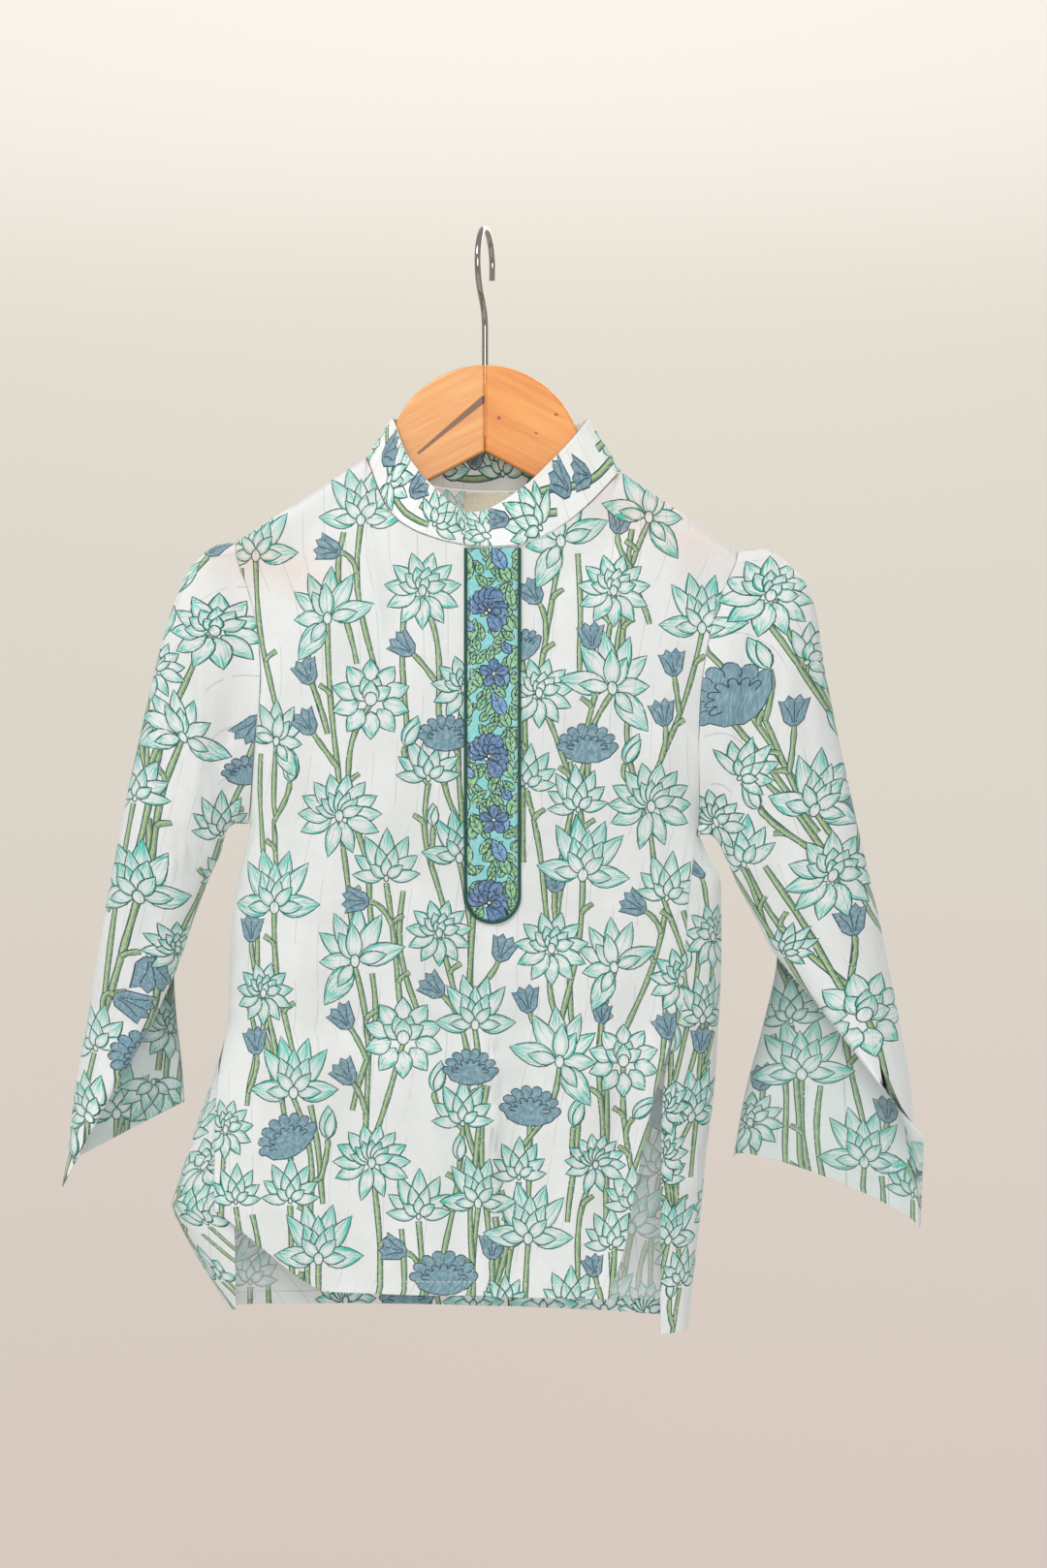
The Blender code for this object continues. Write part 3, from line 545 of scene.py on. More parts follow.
def collar_at(run, up):
    """A point of the collar band: its distance along the seam, and up to the top edge."""
    run, up = np.broadcast_arrays(np.asarray(run, float), np.asarray(up, float))
    seam = np.stack([np.interp(run, NECK_RUN, NECK[:, i]) for i in range(3)], axis=-1)
    table = np.array([row[2:] for row in COLLAR], float)
    top = np.stack([curve_through(COLLAR_KEYS, table[:, i], run) for i in range(3)], axis=-1)
    return swept(seam * (1 - up[..., None]) + top * up[..., None])


def placket_half_width(z):
    """Half the placket's width at a height, round at its lower end."""
    above = np.clip((z - PLACKET_BOTTOM) / PLACKET_HALF, 0.0, 1.0)
    return PLACKET_HALF * np.sqrt(1 - (1 - above) ** 2)


def hook_points():
    path = np.array(HOOK_PATH, float)
    run = run_along(path)
    at = np.linspace(0, run[-1], 160)
    y, z = (curve_through(run, path[:, i], at) for i in range(2))
    return np.stack([HOOK_TURN * y, y, z], axis=-1)


# Inks as sRGB colours. A petal's ink fades to the bare cloth inside it, a line is broken here and
# there, and an even ink is only mottled.
BARE, EVEN, LINE, PETAL = 0, 1, 2, 3
INKS = {
    "bare": ((0.9, 0.89, 0.87), BARE),
    "petal": ((0.17, 0.73, 0.66), PETAL),
    "line": ((0.13, 0.31, 0.29), LINE),
    "stem": ((0.60, 0.71, 0.48), EVEN),
    "stem_shade": ((0.38, 0.53, 0.35), EVEN),
    "blue": ((0.35, 0.53, 0.59), EVEN),
    "blue_line": ((0.14, 0.24, 0.33), LINE),
    "sea": ((0.46, 0.80, 0.80), EVEN),
    "indigo": ((0.19, 0.42, 0.62), EVEN),
    "indigo_pale": ((0.36, 0.58, 0.78), EVEN),
    "leaf": ((0.50, 0.76, 0.53), EVEN),
    "dark": ((0.03, 0.16, 0.20), LINE),
}
BARE_INK = (0.8, 0.8, 0.8, BARE)


def ring(first, last, count, start, length, width):
    """Petals fanned evenly between two turns."""
    return [(turn, start, length, width) for turn in np.linspace(first, last, count)]


# Each flower's petals (turn, start, length, width), back ones first, and the size of its heart.
FLOWERS = {
    "star": (ring(16, 344, 11, 4, 20, 10) + ring(-75, 75, 6, 2, 13, 8) + ring(-20, 20, 2, 0, 9, 6), (5, 7)),
    "sun": (ring(0, 324, 10, 8, 18, 12) + ring(-60, 60, 4, 1, 14, 10) + [(0, -3, 15, 11)], (8, 9)),
    "open": (
        ring(-112, 112, 10, 5, 20, 10) + [(160, 3, 20, 9), (196, 3, 22, 9)] + ring(-70, 70, 7, 1, 14, 7),
        (5, 7),
    ),
    "side": (
        [(-14, 2, 35, 13), (15, 2, 34, 13), (-36, 2, 33, 12), (38, 2, 33, 12), (0, 1, 27, 11)]
        + [(-22, 1, 23, 11), (23, 1, 23, 11), (-86, 2, 27, 14), (86, 2, 27, 14)]
        + [(-88, 2, 16, 8), (88, 2, 16, 8), (-9, 1, 18, 8), (10, 1, 17, 8), (-40, 1, 16, 8), (42, 1, 16, 8)],
        (6, 8),
    ),
    "droop": (
        [(-52, 3, 25, 11), (-24, 3, 29, 11), (4, 3, 31, 12), (30, 3, 30, 12), (-92, 2, 20, 11)]
        + [(-30, 1, 19, 10), (-4, 1, 22, 10), (74, 2, 30, 14), (78, 2, 18, 8), (-145, 3, 30, 15)]
        + [(-146, 3, 16, 8)],
        (5.5, 8),
    ),
    "cup": (
        [(-54, 2, 22, 10), (-27, 2, 27, 11), (1, 2, 29, 11), (28, 2, 27, 11), (54, 2, 22, 10)]
        + [(-84, 2, 19, 8), (82, 2, 19, 8), (-14, 1, 19, 9), (17, 1, 19, 9)] + ring(-50, 52, 3, 1, 12, 7),
        (3, 4),
    ),
    "bud": ([(0, 0, 22, 11), (9, 1, 18, 7)], None),
}
TULIP = [
    (-2, 0), (-5.5, 3), (-6.8, 8), (-8.8, 15), (-5.4, 14), (-3.2, 17.4), (0, 14.6),
    (3.4, 17.6), (5.4, 14.2), (9.2, 15.2), (6.9, 8), (5.5, 3), (2, 0),
]
TULIP_VEINS = [(-5, 13), (0, 13.8), (5, 13.2)]
STEMMED_BUDS = ("tulip", "bud")
STEM_WIDTH = 3.0
LINE_WIDTH = 0.8

# Where the flowers lie: x, z, size and turn to the left in degrees.
CHARTS = {
    "front": {
        "side": [(-148, -211, 1, 0), (-135, -438, 1.05, 0), (-16, -406, 0.85, -5), (-6, -513, 0.9, 0),
            (-122, -556, 1, 0), (-106, -662, 1, 0), (-4, -627, 0.85, 0), (140, -258, 1, 0),
            (63, -417, 1.05, -8), (28, -649, 1, -3), (-80, -188, 0.95, 0)],
        "droop": [(-101, -252, 1, 0), (-83, -472, 1.05, 0), (49, -202, 1.05, 8), (83, -476, 0.95, 8)],
        "star": [(-40, -234, 1.05, 0), (-13, -297, 0.9, 0), (-29, -454, 0.9, 0), (-142, -493, 0.85, 0),
            (-166, -580, 0.8, 0), (83, -234, 1, 0), (35, -300, 0.95, 0), (43, -464, 1, 0),
            (126, -485, 0.9, 0)],
        "sun": [(-73, -304, 1, 0), (-52, -521, 1, 0), (89, -536, 0.9, 0)],
        "droopm": [(-134, -331, 0.8, -5), (82, -297, 1.1, 5), (48, -536, 1.05, 0), (106, -186, 1, 0)],
        "cup": [(-36, -355, 1, 0), (-63, -419, 1.05, 0), (-124, -625, 0.9, 0), (-42, -635, 1, 0),
            (-14, -576, 0.95, 0), (-159, -626, 0.8, 0), (60, -375, 0.95, 5), (27, -360, 0.9, -5),
            (117, -432, 1, -8), (22, -610, 0.85, 0), (81, -655, 0.85, 0), (55, -694, 0.9, 0),
            (13, -693, 0.7, 0), (106, -630, 0.9, 0)],
        "bud": [(-125, -358, 1, -5), (-51, -335, 1, -22), (-33, -386, 0.7, 0), (-100, -586, 1, 0),
            (-32, -556, 0.95, -12), (-16, -600, 0.8, 0), (90, -346, 1, -25), (57, -578, 0.95, -12),
            (95, -573, 0.9, -45)],
        "tulip": [(-93, -209, 1, 75), (-46, -275, 1, 48), (-111, -294, 1, 25), (-110, -326, 1, 35),
            (-74, -434, 1, 85), (-150, -460, 1, 0), (-27, -494, 1, 48), (-86, -515, 1, 35),
            (-146, -532, 1, 10), (-50, -658, 1, 75), (-84, -550, 1, 38), (35, -242, 1, 35),
            (69, -272, 1, 5), (122, -289, 1, 8), (116, -321, 1, 12), (45, -428, 1, -5), (103, -440, 1, 60),
            (29, -505, 1, 12), (9, -472, 1, -20), (75, -512, 0.75, 0), (5, -662, 1, 0),
            (71, -674, 0.85, 12), (86, -197, 1, -8), (120, -522, 1, 20)],
        "open": [(-93, -379, 1.1, 0), (-72, -601, 1, 0), (107, -373, 1.15, 0), (71, -602, 0.8, -5)],
        "fan": [(-25, -329, 0.9, 0), (-125, -587, 1.05, 28), (-9, -543, 0.9, 0), (-26, -675, 1.1, 0),
            (24, -272, 0.75, 30), (66, -336, 1, 0), (29, -568, 1, -5)],
    },
    "sleeve_left": {
        "star": [(-178, -263, 1, 10), (-202, -463, 0.8, 15), (-181, -517, 0.8, 10)],
        "open": [(-212, -290, 0.8, 10)],
        "droopm": [(-194, -329, 0.9, 35)],
        "cup": [(-222, -373, 1, 0), (-246, -530, 1, 15), (-171, -387, 0.9, 0), (-171, -419, 0.7, 0),
            (-195, -548, 0.9, 0)],
        "bud": [(-222, -339, 0.9, -30), (-261, -598, 1, 20), (-186, -583, 1, 0)],
        "side": [(-220, -433, 1, 10), (-252, -573, 0.8, 20)],
        "tulip": [(-217, -469, 1.3, 185), (-234, -495, 1.1, 240), (-154, -315, 1, 150),
            (-179, -215, 1, -30)],
        "fan": [(-223, -532, 0.9, 55), (-157, -350, 0.7, 0)],
        "droop": [(-204, -239, 0.9, 30)],
    },
    "sleeve_right": {
        "star": [(185, -241, 1.1, -15), (222, -419, 1.15, -15), (154, -447, 0.7, 0)],
        "cup": [(206, -284, 1.1, -60), (165, -352, 0.9, -45), (169, -406, 1.1, 25), (197, -465, 0.7, -40),
            (268, -605, 0.9, -10)],
        "bud": [(183, -287, 1, 25), (178, -372, 0.9, 35), (231, -330, 0.9, 40), (271, -469, 0.9, -10)],
        "fan": [(167, -306, 1.25, 45)],
        "tulip": [(198, -323, 1.1, 0), (239, -383, 0.9, 20), (234, -457, 1.1, 10), (222, -523, 1, 60)],
        "side": [(211, -377, 1.05, -20)],
        "droop": [(147, -266, 0.9, 0)],
        "open": [(150, -382, 0.8, 20)],
        "sun": [(241, -507, 1.05, -20)],
    },
    "cuff_left": {
        "cup": [(-217, -553, 1, 180), (-233, -517, 1, 0), (-202, -284, 1, 0)],
        "star": [(-208, -517, 0.9, 0), (-214, -334, 0.9, 10), (-170, -252, 1, 0)],
        "side": [(-239, -573, 0.9, 0), (-189, -353, 1, 0)],
        "droop": [(-205, -463, 1, 0), (-195, -239, 0.9, 20)],
        "sun": [(-220, -416, 0.9, 10)],
        "tulip": [(-192, -554, 1, 0), (-239, -479, 1, 20), (-176, -384, 1, 0)],
        "open": [(-195, -403, 0.9, 0)],
        "fan": [(-170, -302, 1, 0)],
        "bud": [(-220, -378, 1, 0)],
    },
    "cuff_right": {
        "cup": [(202, -515, 1, 0), (275, -627, 0.9, 0), (228, -378, 1, 0), (164, -391, 0.9, 0)],
        "side": [(207, -553, 1.1, 0), (243, -611, 1, 0), (189, -290, 1, 0)],
        "tulip": [(183, -562, 1.1, 0), (258, -583, 1, 0), (186, -471, 1.2, 80), (170, -328, 1, 20)],
        "star": [(174, -583, 0.9, 10), (233, -485, 0.9, 0), (211, -334, 1, 0)],
        "bud": [(252, -517, 1, 0), (154, -252, 1, 0)],
        "sun": [(214, -441, 0.9, 0)],
        "droop": [(189, -403, 1, 0)],
        "fan": [(183, -353, 1, 0)],
        "open": [(220, -258, 0.9, -20)],
    },
}

# Soft spots where the wood shows warm through the cloth: x, z, half width, half height.
WARM_SPOTS = [(136, -200, 30, 20), (100, -184, 24, 15), (-150, -214, 26, 18), (-120, -222, 24, 16)]

# Finer creases than the part has: x0, z0, x1 and z1 of the line, half width, and height outwards.
CREASE_DEPTH = 1.6
CREASES = {
    "front": [
        (4, -452, 7, -692, 3.5, 2.4),
        (-6, -462, -2, -692, 5, -1.8),
        (40, -455, 30, -690, 6, 0.9),
        (-58, -440, -48, -680, 7, 0.8),
        (30, -215, 42, -300, 3, 0.5),
        (-120, -260, -112, -420, 6, -0.8),
        (118, -300, 106, -480, 5, 0.9),
        (92, -500, 70, -690, 5, -1.0),
        (-150, -400, -140, -560, 6, 0.9),
        (112, -520, 98, -640, 4, 1.0),
    ],
    "back": [
        (-20, -220, -30, -690, 7, 1.0),
        (30, -240, 40, -690, 7, -1.0),
        (-78, -260, -92, -680, 6, 1.0),
        (80, -260, 96, -680, 6, 1.0),
        (-118, -400, -130, -690, 5, -0.9),
        (118, -505, 132, -512, 5, -2.2),
        (112, -516, 134, -522, 5, 2.4),
    ],
    "left": [
        (-180, -240, -186, -380, 3.5, 1.5),
        (-199, -250, -210, -400, 4, -1.2),
        (-186, -395, -215, -430, 4, 1.2),
        (-160, -330, -176, -378, 4, 1.8),
        (-225, -440, -246, -560, 5, 0.9),
    ],
    "right": [
        (184, -235, 184, -350, 3.5, 1.4),
        (170, -262, 164, -372, 4, -1.6),
        (212, -300, 224, -420, 5, 1.1),
        (180, -400, 226, -470, 5, 1.0),
    ],
}


def linear(colour):
    """An sRGB colour as the linear one that Blender's shaders take."""
    c = np.asarray(colour, float)
    return np.where(c <= 0.04045, c / 12.92, ((c + 0.055) / 1.055) ** 2.4)


def petal_profile(t, blunt):
    """Half width along a petal, as a share of its widest."""
    if blunt:
        return np.sin(np.pi * t**1.6) ** 0.6
    return np.sin(np.pi * t**0.8) ** 0.9


def petal_outline(length, width, blunt, count=7):
    """A petal from (0, 0) up to (0, length), as a closed outline."""
    t = np.linspace(0, 1, count)
    half = width / 2 * petal_profile(t, blunt)
    left = np.stack([-half, t * length], axis=-1)
    right = np.stack([half, t * length], axis=-1)[-2:0:-1]
    return np.concatenate([left, right])


def oval_outline(across, high, count=12):
    turn = np.linspace(0, 2 * np.pi, count, endpoint=False)
    return np.stack([across / 2 * np.sin(turn), high / 2 * np.cos(turn)], axis=-1)


def grown(outline, distance):
    """The outline moved outwards along its own normals."""
    along = np.roll(outline, -1, axis=0) - np.roll(outline, 1, axis=0)
    normal = np.stack([along[:, 1], -along[:, 0]], axis=-1)
    normal /= np.linalg.norm(normal, axis=1)[:, None] + 1e-9
    x, y = outline[:, 0], outline[:, 1]
    area = np.sum(x * np.roll(y, -1) - np.roll(x, -1) * y)
    return outline + normal * distance * (1 if area > 0 else -1)


def turned(points, degrees):
    """Points turned to the left about (0, 0)."""
    a = math.radians(degrees)
    x, y = points[..., 0], points[..., 1]
    return np.stack([x * math.cos(a) - y * math.sin(a), x * math.sin(a) + y * math.cos(a)], axis=-1)


class Shape:
    """One closed patch of ink, with its points' places along and across its own petal."""

    def __init__(self, outline, ink, own=None):
        self.outline = outline
        self.ink = ink
        self.own = own
        self.place = None


def outlined(outline, ink, line, own=None):
    """A patch with a dark line round it."""
    return [Shape(grown(outline, LINE_WIDTH / 2), line), Shape(grown(outline, -LINE_WIDTH / 2), ink, own)]


def tulip_shapes(size):
    """A blue cup with a pointed rim and dark veins."""
    shapes = outlined(np.array(TULIP) * size, "blue", "blue_line")
    for x, z in TULIP_VEINS:
        vein = curved_path((x * 0.2, 2), (x, z), x * 0.12, 5) * size
        shapes.append(Shape(ribbon(vein, 0.7), "blue_line"))
    return shapes


def scallops(across, high, count, depth):
    """A row of rounded bumps arched over (0, 0), each as its own run of points."""
    edges = np.linspace(-0.53, 0.53, count + 1) * np.pi
    t = np.linspace(0, 1, 6)
    rows = []
    for start, end in zip(edges, edges[1:]):
        turn = start + (end - start) * t
        reach = 1 - depth * (1 - np.sin(np.pi * t) ** 0.6)
        rows.append(np.stack([across * reach * np.sin(turn), high * reach * np.cos(turn)], axis=-1))
    return rows


def fan_shapes(size):
    """A blue open seed head: a scalloped rim, a row of scallops inside it, and a rounded foot."""
    lobes = scallops(20, 16.5, 8, 0.17)
    rim = np.concatenate([row[:-1] for row in lobes])
    outline = np.concatenate([rim, [(14, -5.5), (7, -8.5), (0, -9.4), (-7, -8.5), (-14, -5.5)]])
    shapes = outlined(outline * size, "blue", "blue_line")
    for row in scallops(13.5, 9, 7, 0.35):
        shapes.append(Shape(ribbon(row * size, 0.8), "blue_line"))
    for row in lobes[1:]:
        groove = curved_path(row[0], row[0] * 0.74, 0.4, 4)
        shapes.append(Shape(ribbon(groove * size, 0.7), "blue_line"))
    return shapes


def lotus_shapes(kind, size):
    """A lotus, bud or star of teal petals round a bare heart."""
    petals, heart = FLOWERS[kind]
    shapes = []
    for petal_turn, start, length, width in petals:
        outline = petal_outline(length * size, width * size, False)
        own = np.stack([outline[:, 0] / (width * size / 2), outline[:, 1] / (length * size)], axis=-1)
        outline = turned(outline + (0, start * size), -petal_turn)
        shapes += outlined(outline, "petal", "line", own)
    if heart:
        outline = oval_outline(heart[0] * size, heart[1] * size)
        shapes += outlined(outline, "petal", "line", outline / (heart[0] * size) * (1, 0.4) + (0, 0.45))
    return shapes


def flower(kind, x, z, size, turn):
    """The shapes of one flower about a place."""
    mirrored = kind == "droopm"
    if kind == "tulip":
        shapes = tulip_shapes(size)
    elif kind == "fan":
        shapes = fan_shapes(size)
    else:
        shapes = lotus_shapes("droop" if mirrored else kind, size)
    for shape in shapes:
        shape.outline = turned(shape.outline * (-1 if mirrored else 1, 1), turn) + (x, z)
    return shapes


def ribbon(path, width):
    """A closed outline round a path of points."""
    along = np.gradient(path, axis=0)
    side = np.stack([-along[:, 1], along[:, 0]], axis=-1)
    side /= np.linalg.norm(side, axis=1)[:, None] + 1e-9
    half = np.asarray(width)[..., None] / 2 if np.ndim(width) else width / 2
    return np.concatenate([path + side * half, (path - side * half)[::-1]])


def stem_shapes(path, width, shade):
    """A stem with a darker stripe along one side of it."""
    stripe = ribbon(path + np.array(shade) * STEM_WIDTH / 4, 0.3 * STEM_WIDTH)
    return outlined(ribbon(path, width), "stem", "line") + [Shape(stripe, "stem_shade")]


def curved_path(start, end, sway, count=9):
    t = np.linspace(0, 1, count)[:, None]
    start, end = np.asarray(start, float), np.asarray(end, float)
    along = end - start
    side = np.array([-along[1], along[0]]) / (np.hypot(*along) + 1e-9)
    return start + along * t + side * sway * np.sin(np.pi * t * 1.4)


# How far below its flower a long stem ends at another flower, and how far aside of it at most.
STEM_DROP = (70, 190)
STEM_ASIDE = 34
OPEN_STEM = 130  # the length of a stem that meets no flower


def stem_below(place, places, random):
    """A stem's path from a flower down to the nearest flower below it."""
    x, z = place
    best = None
    for other in places:
        drop, aside = z - other[1], abs(x - other[0])
        near = STEM_DROP[0] < drop < STEM_DROP[1] and aside < STEM_ASIDE
        if near and (best is None or drop + 2 * aside < best[0]):
            best = (drop + 2 * aside, other)
    end = best[1] + np.array([0, 8]) if best else np.array([x + random.uniform(-10, 10), z - OPEN_STEM])
    return curved_path((x, z - 3), end, random.uniform(-5, 5), 11)


# How far below a bud's elbow its stem joins a long one, and how far aside of it at most.
BUD_DROP = (8, 36)
BUD_ASIDE = 32


def bud_stem(place, turn, stems):
    """A bud's short stem, curving down into the nearest long one."""
    down = turned(np.array([0.0, -9.0]), turn)
    start = np.asarray(place, float)
    elbow = start + down
    points = np.concatenate(stems) if stems else np.zeros((0, 2))
    drop = elbow[1] - points[:, 1]
    reach = points[(drop > BUD_DROP[0]) & (drop < BUD_DROP[1])]
    if len(reach) and np.min(np.abs(reach[:, 0] - elbow[0])) < BUD_ASIDE:
        end = reach[np.argmin(np.hypot(*(reach - elbow + (0, 14)).T))]
    else:
        end = elbow + (2, -40)
    t = np.linspace(0, 1, 8)[:, None]
    return start * (1 - t) ** 2 + 2 * elbow * t * (1 - t) + end * t**2


TWIG_CHANCE = 0.6
SECOND_STEM_CHANCE = 0.45


def stem_paths(flowers, random):
    """The paths of the long stems under the flowers, then of the twigs and the buds' stems on them."""
    big = [np.array(row[1:3], float) for row in flowers if row[0] not in STEMMED_BUDS]
    stems, twigs = [], []
    for place in big:
        path = stem_below(place, big, random)
        stems.append(path)
        if random.random() < SECOND_STEM_CHANCE:
            start = place + (random.choice([-11, 11]), -8)
            end = start + (random.uniform(-12, 12), -random.uniform(60, 105))
            stems.append(curved_path(start, end, random.uniform(-6, 6), 9))
        for at in (random.integers(2, 5), random.integers(6, 9)):
            side = random.choice([-1, 1])
            if random.random() < TWIG_CHANCE:
                twigs.append(curved_path(path[at], path[at] + (side * 6.5, 7), side * 0.8, 4))
    for kind, x, z, size, turn in flowers:
        if kind in STEMMED_BUDS:
            twigs.append(bud_stem((x, z), turn, stems))
    return stems + twigs


def print_shapes(chart, seed, lean=0.0):
    """Every shape of a printed cloth: stems first, leaning by this many degrees, then the flowers."""
    flowers = [
        (kind, *turned(np.array([x, z], float), -lean), size, turn - lean)
        for kind, rows in chart.items() for x, z, size, turn in rows
    ]
    flowers.sort(key=lambda row: row[2])
    shapes = []
    for path in stem_paths(flowers, np.random.default_rng(seed)):
        wide = STEM_WIDTH * (1 + 0.15 * np.sin(np.arange(len(path)) * 1.9 + path[0, 0]))
        shapes += stem_shapes(path, wide, (1, 0))
    for row in flowers:
        shapes += flower(*row)
    for shape in shapes:
        shape.outline = turned(shape.outline, lean)
    return shapes


# Every sheet has its flat size, how many parts its length is counted in (rows), which way its right
# side faces, the place on it of a point of its flat print (from_flat), and its surface in the room.


class Panel:
    """The front or back. Its flat cloth has X as the distance from the middle line, and Z."""

    size = (320.0, 500.0)
    rows = 3.0

    def __init__(self, face):
        self.face = face
        self.outward = OUTWARD[face]
        self.width = run_across(np.stack(GRIDS[face], axis=-1))[:, -1]

    def share_of_middle(self, z):
        """The share across at which the middle line lies."""
        return share_at(self.face, np.full(np.shape(z), MIDDLE_X), z)

    def from_flat(self, flat):
        """Places on the cloth (0 to 1 across, 0 to 3 down) of points in the front view."""
        x, z = flat[:, 0], flat[:, 1]
        share = self.share_of_middle(z) + (x - MIDDLE_X) / np.interp(z, RING_GRID_Z, self.width)
        inside = np.clip(share, 0, 1)
        top, hem = top_height(self.face, inside), hem_height(self.face, inside)
        middle = armpit_height(inside)
        down = np.where(z > middle, (top - z) / (top - middle), 1 + (middle - z) / (middle - VENT_TOP))
        down = np.where(z > VENT_TOP, down, 2 + (VENT_TOP - z) / (VENT_TOP - hem))
        return np.stack([share, down], axis=-1)

    def flattened(self, x, z):
        """A place in the front view, as a distance from the middle line along the cloth."""
        off = share_at(self.face, x, z) - self.share_of_middle(z)
        return MIDDLE_X + off * np.interp(z, RING_GRID_Z, self.width)

    def round_the_side(self, x, z):
        """The same for a place where the back's edge comes round to the front."""
        row = np.argmin(np.abs(RING_GRID_Z - z))
        xs = GRIDS[self.face][0][row]
        if x > 0:
            far = np.argmax(xs)
            share = np.interp(-x, -xs[far:], RING_GRID_SHARE[far:])
        else:
            far = np.argmin(xs) + 1
            share = np.interp(-x, -xs[:far], RING_GRID_SHARE[:far])
        return MIDDLE_X + (share - self.share_of_middle(z)) * self.width[row]

    def surface(self, across, down):
        """The panel with its fine creases, which end before its edges."""
        points = panel_at(self.face, across, down)
        edge = smooth_step(across / 0.04) * smooth_step((1 - across) / 0.04) * smooth_step(down / 0.25)
        rise = creased(CREASES[self.face], points[..., 0], points[..., 2]) * edge
        points[..., 1] += self.outward * (rise + SEAM_GAP / 2)
        return points


class Sleeve:
    """A sleeve. Its flat cloth is the front view of its front half, unfolded past the outer fold."""

    size = (230.0, 430.0)
    rows = 1.0

    def __init__(self, side, half):
        self.side = side
        self.half = half
        self.outward = 1.0 if side == "left" else -1.0
        around = np.linspace(0, 0.5, 61)
        self.share = {}
        for face, angles in (("front", around), ("back", 1 - around)):
            run = run_across(sleeve_at(side, *np.meshgrid(angles, np.linspace(0, 1, 41))))
            self.share[face] = run / run[:, -1:]

    def edges(self, face, s):
        """The underarm edge and the outer fold of one face, as seen from the front."""
        columns = {n: column(SLEEVES[self.side], SLEEVE_COLUMNS, n, s) for n in SLEEVE_COLUMNS[1:7]}
        near = np.stack([columns[f"{face}_x"], columns[f"{face}_z"]], axis=-1)
        outer = np.stack([columns["outer_x"], columns["outer_z"]], axis=-1)
        return near, outer

    def seen(self, flat, s):
        """How far across the sleeve each place lies at s, how far below the line across, and its length."""
        near, outer = self.edges(self.half, s)
        line, away = outer - near, flat - near
        span = np.linalg.norm(line, axis=1)
        below = self.outward * (line[:, 0] * away[:, 1] - line[:, 1] * away[:, 0]) / span
        return np.sum(line * away, axis=1) / span**2, below, span

    def around_at(self, face, reach, s):
        """How far round one half of the tube a place lies that is seen this far across it."""
        values = self.share[face]
        return share_where(lambda share: between(values, share, s), np.clip(reach, 0, 1)) / 2

    def from_flat(self, flat):
        """Places on the cloth (0 to 1 around, 0 to 1 down) of points in the front view."""
        s = share_where(lambda s: -self.seen(flat, s)[1], np.zeros(len(flat)))
        reach, below, span = self.seen(flat, s)
        s = s + below / self.size[1]
        far = "back" if self.half == "front" else "front"
        far_near, far_outer = self.edges(far, s)
        past = (reach - 1) * span / np.linalg.norm(far_outer - far_near, axis=1)
        inside = self.around_at(self.half, reach, s) + np.minimum(reach, 0) / 2
        around = np.where(reach <= 1, inside, 1 - self.around_at(far, 1 - past, s))
        return np.stack([around if self.half == "front" else 1 - around, s], axis=-1)

    def surface(self, across, down):
        points = sleeve_at(self.side, across, down)
        out = np.where(across <= 0.5, -1.0, 1.0)
        stand = np.abs(np.sin(2 * np.pi * across))
        rise = creased(CREASES[self.side], points[..., 0], points[..., 2])
        points[..., 1] += out * rise * stand * smooth_step(down / 0.08)
        return points


class Collar:
    """The collar band, flat as (distance along the seam, distance up)."""

    size = (float(NECK_RUN[-1]), 26.0)
    rows = 1.0
    outward = -1.0

    def from_flat(self, flat):
        return flat / self.size

    def surface(self, across, down):
        return collar_at(across * NECK_RUN[-1], down)


class Placket:
    """The placket, seen from the front."""

    size = (32.0, 240.0)
    rows = 1.0
    outward = -1.0
    low = PLACKET_BOTTOM + 0.12  # just short of the round end's point

    def from_flat(self, flat):
        across = (flat[:, 0] - PLACKET_MIDDLE) / np.maximum(placket_half_width(flat[:, 1]), 1.0)
        return np.stack([(across + 1) / 2, (PLACKET_TOP - flat[:, 1]) / (PLACKET_TOP - self.low)], axis=-1)

    def surface(self, across, down):
        z = PLACKET_TOP + (self.low - PLACKET_TOP) * down
        points = front_at(PLACKET_MIDDLE + (across * 2 - 1) * placket_half_width(z), z)
        edge = np.minimum(1 - np.abs(across * 2 - 1), 0.2) / 0.2
        points[..., 1] -= WALL + SEAM_GAP * 1.5 - 0.4 * (1 - edge)
        return points


def creased(creases, x, z):
    """Height of the finer creases, and of the faint unevenness of hanging cotton."""
    return (
        CREASE_DEPTH * fold_height(creases, x, z)
        + 0.6 * np.sin(x * 0.105 + 1.3 * np.sin(z * 0.021))
        + 0.35 * np.sin(x * 0.19 - z * 0.033 + 0.8)
        + 0.22 * np.sin(x * 0.043 + z * 0.11 + 2.0)
        + 0.10 * np.sin(x * 0.31 + z * 0.21)
    )


def inside(outline, points):
    """Whether each point lies inside a closed outline."""
    x, y = outline.T
    x1, y1 = np.roll(x, -1), np.roll(y, -1)
    px, py = points[:, :1], points[:, 1:]
    crosses = (y > py) != (y1 > py)
    at = x + (py - y) * (x1 - x) / np.where(y1 == y, 1.0, y1 - y)
    return np.sum(crosses & (px < at), axis=1) % 2 == 1


STRAIGHT = 0.04  # how far off a straight line a point may lie and still be left out
SAME_PLACE = 1e-5  # points closer than this are one


